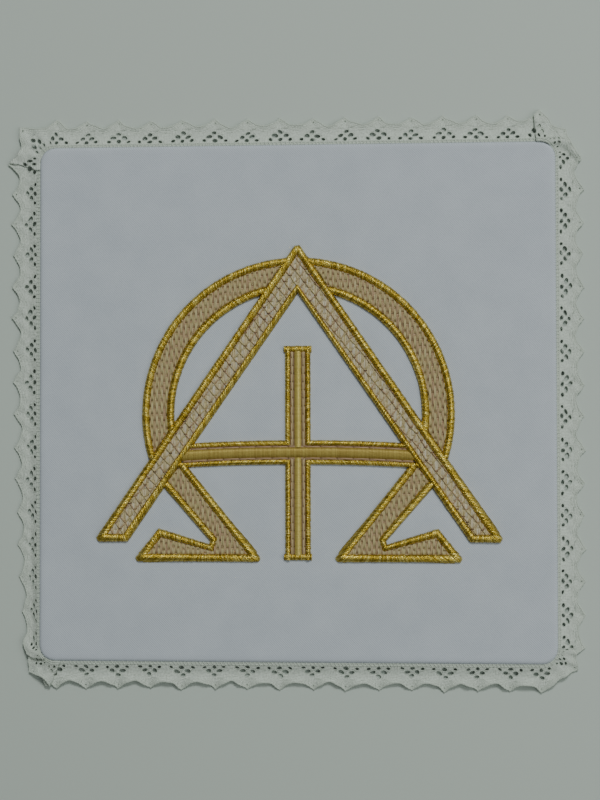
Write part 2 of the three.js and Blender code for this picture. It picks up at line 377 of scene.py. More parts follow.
def smooth_piece(name: str, mesh: bpy.types.Mesh) -> Piece:
    """Puts a mesh in the scene as a smoothly shaded object at the origin.

    Args:
        name: the piece's name.
        mesh: its mesh, in metres.

    Returns:
        The new object.
    """
    mesh.polygons.foreach_set("use_smooth", np.ones(len(mesh.polygons), dtype=bool))
    piece = bpy.data.objects.new(name, mesh)
    bpy.context.scene.collection.objects.link(piece)
    return piece


@dataclass
class ThreadBundle:
    """Many threads that become one mesh: each is a flattened tube along its own row of points."""

    vertices: list[Array] = field(default_factory=list)
    faces: list[Array] = field(default_factory=list)
    tones: list[Array] = field(default_factory=list)
    count: int = 0

    def lay(
        self,
        paths: Array,
        width: Array | float,
        height: Array | float,
        tone: Array | float,
        up: Array | None = None,
        closed: bool = False,
    ) -> None:
        """Adds threads of equal numbers of points.

        Args:
            paths: centre lines in millimetres, by thread, point and axis.
            width: how wide a thread is, for all or by thread and point.
            height: how thick it is, out of the cloth.
            tone: its shade from 0 to 1, for all or by thread.
            up: the way out of the cloth at each point, +Z if not given.
            closed: whether each thread runs back into its own start.
        """
        threads, points = paths.shape[:2]
        if closed:
            along = np.roll(paths, -1, axis=1) - np.roll(paths, 1, axis=1)
        else:
            along = np.gradient(paths, axis=1)
        along = along / np.linalg.norm(along, axis=2, keepdims=True)
        across = np.cross(along, np.array([0.0, 0.0, 1.0]) if up is None else up)
        across = across / np.linalg.norm(across, axis=2, keepdims=True)
        out = np.cross(across, along)
        turn = TURN * np.arange(THREAD_SIDES)[:, None] / THREAD_SIDES
        half_width = np.broadcast_to(width, (threads, points))[..., None, None] / 2
        half_height = np.broadcast_to(height, (threads, points))[..., None, None] / 2
        rings = across[:, :, None] * np.cos(turn) * half_width + out[:, :, None] * np.sin(turn) * half_height
        self.vertices.append((paths[:, :, None] + rings).reshape(-1, 3))
        first = self.count + THREAD_SIDES * np.arange(threads * points).reshape(threads, points)
        here = (first if closed else first[:, :-1])[..., None]
        there = (np.roll(first, -1, axis=1) if closed else first[:, 1:])[..., None]
        corner = np.arange(THREAD_SIDES)
        beside = (corner + 1) % THREAD_SIDES
        sides = np.stack([here + corner, there + corner, there + beside, here + beside], axis=-1)
        self.faces.append(sides.reshape(-1, 4))
        if not closed:
            for cap in THREAD_CAPS:
                self.faces.append(first[:, :1] + np.array(cap))
                self.faces.append(first[:, -1:] + np.array(cap[::-1]))
        self.tones.append(np.repeat(np.broadcast_to(tone, threads), points * THREAD_SIDES))
        self.count += threads * points * THREAD_SIDES

    def move(self, shift: Callable[[Array], Array]) -> None:
        """Moves the threads up the face by a shift that depends on how far across they are."""
        for vertices in self.vertices:
            vertices[:, 1] += shift(vertices[:, 0])

    def build(self, name: str) -> Piece:
        """Joins the threads.

        Args:
            name: the piece's name.

        Returns:
            The threads as one object.
        """
        mesh = bpy.data.meshes.new(name)
        vertices = np.concatenate(self.vertices) * MM
        mesh.from_pydata(vertices.tolist(), [], np.concatenate(self.faces).tolist())
        shade = mesh.attributes.new("tone", "FLOAT", "POINT")
        shade.data.foreach_set("value", np.concatenate(self.tones).astype(np.float32))
        return smooth_piece(name, mesh)


def corner_ways(outline: Array) -> tuple[Array, Array, Array]:
    """Finds how the edges of an outline meet.

    Args:
        outline: the outline's corners.

    Returns:
        The way into each corner, the way out of it, and how sharply it turns to the left.
    """
    arriving = outline - np.roll(outline, 1, axis=0)
    arriving /= np.linalg.norm(arriving, axis=1, keepdims=True)
    leaving = np.roll(arriving, -1, axis=0)
    return arriving, leaving, arriving[:, 0] * leaving[:, 1] - arriving[:, 1] * leaving[:, 0]


def inset_outline(points: Array, distance: float, reentrant_limit: float = 1.0) -> Array:
    """Moves each edge of an anticlockwise outline inwards.

    Args:
        points: the outline's corners.
        distance: how far, or outwards if negative.
        reentrant_limit: the longest mitre at a corner that points inwards, in distances.

    Returns:
        The corners of the new outline.
    """
    arriving, leaving, turning = corner_ways(points)
    mitre = np.stack([-arriving[:, 1] - leaving[:, 1], arriving[:, 0] + leaving[:, 0]], axis=1)
    length = np.linalg.norm(mitre, axis=1)
    stretch = np.where(turning < 0, np.minimum(2 / length, reentrant_limit), 2 / length)
    return points + mitre * (stretch * distance / length)[:, None]


def edge_stretches(outline: Array, width: float, trim: float = 1.3) -> list[Stretch]:
    """Splits the border just inside an outline at its corners.

    Args:
        outline: the anticlockwise outline.
        width: the border's width.
        trim: how far from a sharp corner the outer edge is cut across.

    Returns:
        The outer and the inner edge of each stretch, mitred at the corners.
    """
    inner = inset_outline(outline, width)
    arriving, leaving, turning = corner_ways(outline)
    sharp = (turning > 0) & ((arriving * leaving).sum(axis=1) < 0)
    cut = trim * sharp[:, None]
    before, after = outline - cut * arriving, outline + cut * leaving
    stretches = []
    for i in range(len(outline)):
        j = (i + 1) % len(outline)
        stretches.append((np.stack([after[i], before[j]]), inner[[i, j]]))
        if sharp[j]:
            stretches.append((np.stack([before[j], after[j]]), inner[[j, j]]))
    return stretches


def travelled(route: Array) -> Array:
    """Returns how far each point of a route is from its start."""
    return np.concatenate([[0], np.cumsum(np.linalg.norm(np.diff(route, axis=0), axis=1))])


def route_length(route: Array) -> float:
    """Returns the length of a route."""
    return float(travelled(route)[-1])


def along_route(route: Array, share: Array) -> Array:
    """Returns the places on a route at shares of its length."""
    far = travelled(route)
    return np.stack([np.interp(share * far[-1], far, route[:, axis]) for axis in (0, 1)], axis=1)


def even_steps(route: Array, pitch: float) -> Array:
    """Returns evenly spaced points along a route, as close to a pitch as whole steps allow."""
    return along_route(route, np.linspace(0, 1, max(2, round(route_length(route) / pitch)) + 1))


def line_ways(start: Array, end: Array) -> tuple[float, Array, Array]:
    """Measures a straight line.

    Args:
        start: where it starts.
        end: where it ends.

    Returns:
        Its length, the way along it and the way to its left.
    """
    length = np.linalg.norm(end - start)
    along = (end - start) / length
    return length, along, np.array([-along[1], along[0]])


def box_of(outline: Array) -> Array:
    """Returns the lowest and the highest corner of the box round an outline."""
    return np.array([outline.min(axis=0), outline.max(axis=0)])


def within(outline: Array) -> Region:
    """Makes a test of whether places lie inside an outline.

    Args:
        outline: the outline's corners.

    Returns:
        The test.
    """

    def test(x: Array, y: Array) -> Array:
        """Tests places.

        Args:
            x: how far across they are.
            y: how far up they are.

        Returns:
            Whether each is inside.
        """
        inside = np.zeros(np.broadcast(x, y).shape, dtype=bool)
        for (ax, ay), (bx, by) in zip(outline, np.roll(outline, -1, axis=0)):
            if ay != by:
                crosses = ((ay > y) != (by > y)) & (x < (bx - ax) * (y - ay) / (by - ay) + ax)
                inside ^= crosses
        return inside

    return test


def outside(*outlines: Array) -> Region:
    """Makes a test of whether places lie outside every one of some outlines.

    Args:
        outlines: the corners of each outline.

    Returns:
        The test.
    """
    tests = [within(outline) for outline in outlines]

    def test(x: Array, y: Array) -> Array:
        """Tests places.

        Args:
            x: how far across they are.
            y: how far up they are.

        Returns:
            Whether each is clear.
        """
        clear = np.ones(np.broadcast(x, y).shape, dtype=bool)
        for inside in tests:
            clear &= ~inside(x, y)
        return clear

    return test


def clip_lines(
    starts: Array, ends: Array, region: Region, step: float = 0.08
) -> list[tuple[int, float, float]]:
    """Finds the stretches of lines that lie in a region.

    Args:
        starts: where each line starts.
        ends: where each line ends.
        region: the test of the region.
        step: how closely each line is tested.

    Returns:
        Each stretch as the line's number and its two ends, as shares of that line.
    """
    stretches = []
    count = int(np.linalg.norm(ends - starts, axis=1).max() / step) + 2
    share = np.linspace(0, 1, count)
    for i, (start, end) in enumerate(zip(starts, ends)):
        places = start + (end - start) * share[:, None]
        inside = np.concatenate([[False], region(places[:, 0], places[:, 1]), [False]])
        edges = np.flatnonzero(inside[1:] != inside[:-1])
        for low, high in zip(edges[::2], edges[1::2]):
            stretches.append((i, share[low], share[high - 1]))
    return stretches


def arched(starts: Array, ends: Array, height: Array | float, profile: Array, lift: float) -> Array:
    """Makes stitches that rise from the cloth and go back into it.

    Args:
        starts: where each stitch comes up, on the face.
        ends: where each goes down.
        height: how high each rises.
        profile: rows of a share along the stitch and a share of the height.
        lift: the height of the cloth.

    Returns:
        The stitches' centre lines, by stitch, point and axis.
    """
    flat = starts[:, None] + (ends - starts)[:, None] * profile[None, :, :1]
    rise = lift + np.broadcast_to(height, len(starts))[:, None] * profile[None, :, 1]
    return np.concatenate([flat, rise[..., None]], axis=2)


@dataclass(frozen=True)
class SatinBorder:
    """A raised border of close stitches, each from its outer edge to its inner edge, over padding.

    The profile has a share along a stitch and a share of its height in each row. The padding's width and
    height are shares of the border's.
    """

    width: float
    height: float
    pitch: float = 0.36
    thread: float = 0.44
    flatness: float = 0.8
    lean: float = 0.8
    lean_start: float = 3.0
    uneven: float = 0.05
    padding_width: float = 0.75
    padding_height: float = 1.4
    padding_tone: float = 0.3
    profile: Table = (
        (0, -0.05),
        (0.07, 0.45),
        (0.22, 0.85),
        (0.5, 1),
        (0.78, 0.85),
        (0.93, 0.45),
        (1, -0.05),
    )

    def work(
        self, bundle: ThreadBundle, stretches: list[Stretch], lift: float, rng: Chance, keep: Region
    ) -> None:
        """Works the border.

        Args:
            bundle: where the stitches go.
            stretches: the outer and the inner edge of each stretch.
            lift: the height of the cloth.
            rng: chance, for uneven stitches.
            keep: the places where stitches are worked.
        """
        for outer, inner in stretches:
            length = max(route_length(outer), route_length(inner))
            count = max(3, round(length / self.pitch))
            share = (np.arange(count) + 0.5) / count
            from_end = np.minimum(share, 1 - share) * length
            ahead = self.lean / length * np.clip(from_end / self.lean_start, 0, 1)
            share = share + rng.normal(0, self.uneven, count) / count
            starts, ends = along_route(outer, share - ahead / 2), along_route(inner, share + ahead / 2)
            across = ends - starts
            spread = rng.normal(0, self.uneven, (count, 1)) * across
            spread = spread / np.linalg.norm(across, axis=1, keepdims=True)
            starts, ends = starts - spread, ends + spread
            middles = (starts + ends) / 2
            kept = keep(middles[:, 0], middles[:, 1])
            if kept.sum() < 2:
                continue
            starts, ends, middles = starts[kept], ends[kept], middles[kept]
            height = self.height * (1 + rng.normal(0, self.uneven, len(starts))) - self.thread / 3
            paths = arched(starts, ends, height, np.array(self.profile), lift)
            bundle.lay(paths, self.thread, self.thread * self.flatness, rng.uniform(0, 1, len(starts)))
            padding = np.concatenate([middles, np.full((len(middles), 1), lift)], axis=1)[None]
            across = np.linalg.norm(ends - starts, axis=1)[None]
            bundle.lay(
                padding, self.padding_width * across, self.padding_height * self.height, self.padding_tone
            )


@dataclass(frozen=True)
class BrickFill:
    """A flat fill of close parallel stitches, staggered like bricks, over a sparse underlay.

    Drift and stagger move the ends of the stitches: how far, and how fast across the fill or from column to
    column. The waist has a stitch's width at each point along it.
    """

    column: float = 0.76
    strands: int = 2
    stitch: float = 4.1
    height: float = 0.45
    shades: tuple[float, float] = (0.43, 0.6)
    dip: float = 0.26
    waist: tuple[float, ...] = (0.64, 0.86, 1, 0.86, 0.64)
    overlap: float = 1.15
    flatness: float = 0.9
    drift: tuple[float, float] = (0.3, 0.8)
    stagger: tuple[float, float] = (0.35, 5.3)
    sway: float = 0.04
    height_uneven: float = 0.12
    shade_uneven: float = 0.05
    # The underlay's tone shows only in the gaps between the stitches; where it is darker than the stitches,
    # as in the brick fill, it is painted shade in those gaps.
    under_tone_painted_shade: float = 0.3
    under_overlap: float = 1.05
    under_thread: float = 0.2
    under_profile: Table = ((0, 0), (0.5, 0.1), (1, 0))

    def columns(self, region: Region, box: Array, pitch: float, run: Run) -> tuple[Array, Array, Array]:
        """Finds where parallel threads cross a region.

        Args:
            region: the test of the region.
            box: the region's lowest and highest corners.
            pitch: the spacing of the threads.
            run: the way they run.

        Returns:
            Each thread's number, start and end.
        """
        step, span = np.array(run.value), 1 - np.array(run.value)
        count = int(np.ceil(((box[1] - box[0]) * step).sum() / pitch))
        offsets = (np.arange(count) + 0.5)[:, None] * pitch * step
        lines = [box[0] + offsets, box[0] + offsets + (box[1] - box[0]) * span]
        found = clip_lines(*lines, region)
        number = np.array([i for i, _, _ in found])
        shares = np.array([[low, high] for _, low, high in found])
        way = lines[1][number] - lines[0][number]
        return number, lines[0][number] + way * shares[:, :1], lines[0][number] + way * shares[:, 1:]

    def stitch_ends(self, column: int, start: Array, end: Array, bottom: float) -> list[tuple[float, float]]:
        """Divides one thread into stitches, staggered from column to column.

        Args:
            column: the column's number.
            start: the thread's lower end.
            end: its upper end.
            bottom: how low the region reaches.

        Returns:
            The foot and the head of each stitch.
        """
        first = (column % 2) * self.stitch / 2
        breaks = np.arange(bottom + first - self.stitch, end[1] + self.stitch, self.stitch)
        breaks = breaks + self.drift[0] * np.sin(self.drift[1] * start[0])
        breaks = breaks + self.stagger[0] * np.sin(self.stagger[1] * column)
        edges = np.concatenate([[start[1]], breaks[(breaks > start[1]) & (breaks < end[1])], [end[1]]])
        return list(zip(edges[:-1], edges[1:]))

    def work(self, bundle: ThreadBundle, region: Region, box: Array, lift: float, rng: Chance) -> None:
        """Works the fill.

        Args:
            bundle: where the stitches go.
            region: the test of the region.
            box: the region's lowest and highest corners.
            lift: the height of the cloth.
            rng: chance, for uneven stitches.
        """
        _, low, high = self.columns(region, box, self.column, Run.ACROSS)
        under = arched(low, high, 1.0, np.array(self.under_profile), lift)
        # The underlay's tone is painted shade in the gaps between the stitches laid over it.
        bundle.lay(under, self.under_overlap * self.column, self.under_thread, self.under_tone_painted_shade)
        width = self.column / self.strands
        starts, ends, shade = [], [], []
        for i, start, end in zip(*self.columns(region, box, width, Run.UP)):
            column = i // self.strands
            for foot, head in self.stitch_ends(column, start, end, box[0][1]):
                starts.append((start[0], foot))
                ends.append((start[0], head))
                shade.append(self.shades[column % 2])
        starts, ends = np.array(starts), np.array(ends)
        count = len(starts)
        starts[:, 0] += rng.normal(0, self.sway, count)
        ends[:, 0] += rng.normal(0, self.sway, count)
        profile = np.array([[0, -0.1], [self.dip, 0.75], [0.5, 1], [1 - self.dip, 0.75], [1, -0.1]])
        height = self.height * (1 + rng.normal(0, self.height_uneven, count))
        shade = np.array(shade) + rng.normal(0, self.shade_uneven, count)
        paths = arched(starts, ends, height, profile, lift)
        bundle.lay(paths, self.overlap * width * np.array(self.waist), self.flatness * width, shade)


@dataclass(frozen=True)
class TrellisFill:
    """An open fill of crossing diagonal stitches, tied here and there where they meet, on a pale ground.

    The rises are the heights of the two sets of diagonals, and shades the range of their tones. The ties are
    dark: their tone is painted shade of the holes pulled in where the threads cross.
    """

    cell_width: float = 3.1
    cell_height: float = 3.9
    thread: float = 0.32
    flatness: float = 0.7
    arch: float = 0.2
    profile: Table = ((0, -0.8), (0.2, 0.1), (0.5, 0.4), (0.8, 0.1), (1, -0.8))
    rises: tuple[float, float] = (0.5, 0.62)
    shades: tuple[float, float] = (0.28, 0.58)
    tie: float = 0.9
    tie_width: float = 0.36
    tie_thickness: float = 0.3
    tie_height: float = 0.74
    tie_profile: Table = ((0, 0.2), (0.2, 0.9), (0.8, 0.9), (1, 0.2))
    # The ties' dark tones are painted shade of the pulled holes at the crossings.
    tie_painted_shades: tuple[float, float] = (0, 0.16)
    tied: float = 0.6
    uneven: float = 0.16
    cut_steps: int = 9
    ground: BrickFill = BrickFill(column=0.9, height=0.22, shades=(0.76, 0.9), dip=0.1, under_tone_painted_shade=0.6)

    def work(self, bundle: ThreadBundle, region: Region, box: Array, lift: float, rng: Chance) -> None:
        """Works the fill.

        Args:
            bundle: where the stitches go.
            region: the test of the region.
            box: the region's lowest and highest corners.
            lift: the height of the cloth.
            rng: chance, for uneven stitches.
        """
        self.ground.work(bundle, region, box, lift, rng)
        cell = np.array([self.cell_width, self.cell_height]) / 2
        count = np.ceil((box[1] - box[0]) / cell).astype(int) + 3
        across, up = np.meshgrid(np.arange(count[0]), np.arange(count[1]), indexing="ij")
        nodes = box[0] + cell * (np.stack([across, up], axis=-1) - 1)
        nodes = nodes + rng.normal(0, self.uneven, nodes.shape)
        meets = (across + up) % 2 == 0
        for low, high, met, rise in (
            (nodes[:-1, :-1], nodes[1:, 1:], meets[:-1, :-1], self.rises[0]),
            (nodes[1:, :-1], nodes[:-1, 1:], meets[1:, :-1], self.rises[1]),
        ):
            self.lay_diagonals(bundle, region, low[met], high[met], lift + rise, rng)
        knots = nodes[meets]
        knots = knots[region(knots[:, 0], knots[:, 1]) & (rng.uniform(0, 1, len(knots)) < self.tied)]
        half = np.array([self.tie / 2, 0])
        # Ties in dark tones, painted shade of the pulled holes where the diagonals cross.
        ties = arched(knots - half, knots + half, self.tie_height, np.array(self.tie_profile), lift)
        bundle.lay(ties, self.tie_width, self.tie_thickness, rng.uniform(*self.tie_painted_shades, len(knots)))

    def lay_diagonals(
        self, bundle: ThreadBundle, region: Region, low: Array, high: Array, lift: float, rng: Chance
    ) -> None:
        """Lays one set of diagonal stitches, cut off at the region's edge.

        Args:
            bundle: where the stitches go.
            region: the test of the region.
            low: each stitch's lower end.
            high: its upper end.
            lift: the height that they lie at.
            rng: chance, for uneven stitches.
        """
        share = np.linspace(0, 1, self.cut_steps)
        places = low[:, None] + (high - low)[:, None] * share[:, None]
        inside = region(places[..., 0], places[..., 1])
        first, last = inside.argmax(axis=1), len(share) - 1 - inside[:, ::-1].argmax(axis=1)
        kept = inside.any(axis=1) & (last > first)
        rows = np.arange(len(low))[kept]
        starts, ends = places[rows, first[kept]], places[rows, last[kept]]
        tone = rng.uniform(*self.shades, len(rows))
        paths = arched(starts, ends, self.arch, np.array(self.profile), lift)
        bundle.lay(paths, self.thread, self.flatness * self.thread, tone)


@dataclass(frozen=True)
class SatinBar:
    """A smooth padded bar of stitches straight across it, with tan and dark lines along both sides.

    The lines have a tone and a height in each row, from the core outwards.
    """

    core: float
    height: float
    lines: Table
    pitch: float = 0.3
    overlap: float = 1.5
    arch_steps: int = 9
    squareness: float = 0.8
    uneven: float = 0.015
    tone: float = 0.5
    tone_uneven: float = 0.1
    line_stitch: float = 5.0
    line_overlap: float = 1.1
    line_thickness: float = 0.36
    line_profile: Table = ((0, 0.15), (0.08, 0.9), (0.5, 1), (0.92, 0.9), (1, 0.15))

    def work(self, gold: ThreadBundle, start: Array, end: Array, lift: float, rng: Chance) -> None:
        """Works the smooth core.

        Args:
            gold: where the stitches go.
            start: one end of the bar's middle line.
            end: the other end.
            lift: the height of the cloth.
            rng: chance, for uneven stitches.
        """
        middles = even_steps(np.array([start, end]), self.pitch)
        half = line_ways(start, end)[2] * self.core / 2
        turn = np.linspace(0, np.pi, self.arch_steps)
        profile = np.stack([0.5 - 0.5 * np.cos(turn), np.sin(turn) ** self.squareness], axis=1)
        height = self.height * (1 + rng.normal(0, self.uneven, len(middles))) - self.pitch / 2
        paths = arched(middles - half, middles + half, height, profile, lift)
        tone = self.tone + rng.uniform(-self.tone_uneven, self.tone_uneven, len(middles))
        gold.lay(paths, self.overlap * self.pitch, self.pitch, tone)

    def edge_lines(self, tan: ThreadBundle, start: Array, end: Array, outer: float, lift: float) -> None:
        """Lays the lines between the core and the bar's border.

        Args:
            tan: where the stitches go.
            start: one end of the bar's middle line.
            end: the other end.
            outer: how far the lines reach from the middle line.
            lift: the height of the cloth.
        """
        length, along, aside = line_ways(start, end)
        inner = self.core / 2
        step = (outer - inner) / len(self.lines)
        for row, (tone, height) in enumerate(self.lines):
            first = (1 + row % 2) * self.line_stitch / 2
            breaks = np.concatenate([[0], np.arange(first, length, self.line_stitch), [length]])
            for side in (-1, 1):
                offset = side * aside * (inner + (row + 0.5) * step)
                starts = start + offset + along * breaks[:-1, None]
                ends = start + offset + along * breaks[1:, None]
                paths = arched(starts, ends, height, np.array(self.line_profile), lift)
                tan.lay(paths, self.line_overlap * step, self.line_thickness, tone)


@dataclass
class Panel:
    """The stiff square, covered in cloth that turns softly over its edge.

    The waves have how fast they go across and up the face, and their height, in each row.
    """

    low: Vector
    high: Vector
    corner_radius: float = 5.0
    edge_round: float = 1.3
    cells: int = 128
    edge_steps: int = 7
    waves: Table = ((0.021, 0.034, 0.09), (0.047, -0.026, 0.05), (-0.03, 0.071, 0.03))
    wave_start: float = 40.0
    pull: float = 0.16
    pull_reach: float = 2.6

    def top(self) -> float:
        """Returns the height of the face, in millimetres."""
        return self.high.z / MM

    def half(self) -> float:
        """Returns half the panel's width, in millimetres."""
        return (self.high.x - self.low.x) / 2 / MM

    def rounded(self, vertex: bmesh.types.BMVert, half: float, radius: float) -> None:
        """Draws a square grid's corner into a round one.

        Args:
            vertex: a vertex of the grid.
            half: half the grid's side.
            radius: the corner's radius.
        """
        far = half - radius
        past = Vector((max(abs(vertex.co.x) - far, 0), max(abs(vertex.co.y) - far, 0)))
        if past.x > 0 and past.y > 0:
            past = past.normalized() * max(past)
            vertex.co.x = math.copysign(far + past.x, vertex.co.x)
            vertex.co.y = math.copysign(far + past.y, vertex.co.y)

    def face_height(self, x: float, y: float) -> float:
        """Finds how far the cloth's soft waves lift a place on the face.

        Args:
            x: how far across the place is.
            y: how far up it is.

        Returns:
            The lift, which fades out towards the edge.
        """
        wave = sum(
            size * math.sin(along * x + up * y + size * self.wave_start) for along, up, size in self.waves
        )
        return wave * max(0.0, 1 - max(abs(x), abs(y)) / self.half()) ** 0.5

    def build(self, sewn: Array) -> Piece:
        """Builds the panel.

        Args:
            sewn: places on the face where stitches draw the cloth down.

        Returns:
            The panel, in place.
        """
        half = self.half() - self.edge_round
        radius = self.corner_radius - self.edge_round
        thick = self.top()
        bm = bmesh.new()
        sheets = []
        for height in (thick, 0):
            grid = bmesh.ops.create_grid(
                bm,
                x_segments=self.cells,
                y_segments=self.cells,
                size=half,
                matrix=Matrix.Translation((0, 0, height)),
            )
            sheets.append(grid["verts"])
            for vertex in grid["verts"]:
                self.rounded(vertex, half, radius)
        bmesh.ops.reverse_faces(bm, faces=list({face for vertex in sheets[1] for face in vertex.link_faces}))
        rims = [edge for edge in bm.edges if edge.is_boundary]
        bridge = bmesh.ops.bridge_loops(bm, edges=rims)
        uprights = [
            edge for edge in bridge["edges"] if abs(edge.verts[0].co.z - edge.verts[1].co.z) > thick / 2
        ]
        bmesh.ops.subdivide_edges(bm, edges=uprights, cuts=self.edge_steps, use_grid_fill=True)
        face = [vertex for vertex in bm.verts if vertex.co.z > thick - NEAR]
        for vertex in bm.verts:
            if NEAR < vertex.co.z < thick - NEAR:
                self.roll_edge(vertex, half, radius, thick)
        for vertex, drop in zip(face, self.drawn_down(face, sewn)):
            vertex.co.z += self.face_height(vertex.co.x, vertex.co.y) - drop
        bmesh.ops.recalc_face_normals(bm, faces=bm.faces)
        bmesh.ops.scale(bm, vec=(MM, MM, MM), verts=bm.verts)
        mesh = bpy.data.meshes.new("panel_cover")
        bm.to_mesh(mesh)
        bm.free()
        return smooth_piece("panel_cover", mesh)

    def roll_edge(self, vertex: bmesh.types.BMVert, half: float, radius: float, thick: float) -> None:
        """Swells a vertex of the straight side out to the half-round edge.

        Args:
            vertex: a vertex of the side.
            half: half the flat face's width.
            radius: the flat face's corner radius.
            thick: the panel's thickness.
        """
        middle = thick / 2
        rise = max(-1.0, min(1.0, (vertex.co.z - middle) / middle))
        angle = rise * math.pi / 2
        far = half - radius
        inner = Vector((max(-far, min(far, vertex.co.x)), max(-far, min(far, vertex.co.y))))
        out = Vector((vertex.co.x, vertex.co.y)) - inner
        if out.length > 0:
            out = out.normalized() * self.edge_round * math.cos(angle)
            vertex.co.x += out.x
            vertex.co.y += out.y
        vertex.co.z = middle + middle * math.sin(angle)

    def drawn_down(self, vertices: list[bmesh.types.BMVert], sewn: Array) -> Array:
        """Finds how far the stitches draw the cloth down.

        Args:
            vertices: the face's vertices.
            sewn: places on the face where stitches go through.

        Returns:
            The drop of each vertex.
        """
        places = np.array([(vertex.co.x, vertex.co.y) for vertex in vertices])
        nearest = np.full(len(places), np.inf)
        for spot in sewn:
            nearest = np.minimum(nearest, ((places - spot) ** 2).sum(axis=1))
        return self.pull * np.exp(-nearest / self.pull_reach**2)


@dataclass(frozen=True)
class LaceSide:
    """How the lace lies along one side and round the corner at its far end.

    It has the shift along the seam and the share of its width at the side's two ends, how far the corner
    lifts it, how far its middle tooth swings round, how much longer the corner's three teeth are, and how
    far its notches curl up.
    """

    shift: tuple[float, float]
    width: tuple[float, float]
    lift: float
    swing: float
    longer: tuple[float, float, float]
    curl: float


@dataclass(frozen=True)
class Pleat:
    """A fold that takes up one whole repeat of the strip, with its edge at a place along the seam."""

    place: float
    lean: float
    layer: float = 0.55
    width: float = 0.5
    softness: float = 0.05
    fold_softness: float = 0.03
    rise_ahead: float = 0.1
    rise_softness: float = 0.07


@dataclass(frozen=True)
class LaceThread:
    """A thicker thread in the lace.

    It has its width, how deep its middle lies under the lace's face, how far inside the free edge or outside
    a hole it runs, how far it wavers and how often in a repeat, and the number of points along it.
    """

    width: float
    sunk: float
    inset: float
    waver: float = 0.0
    waves: int = 0
    points: int = 25


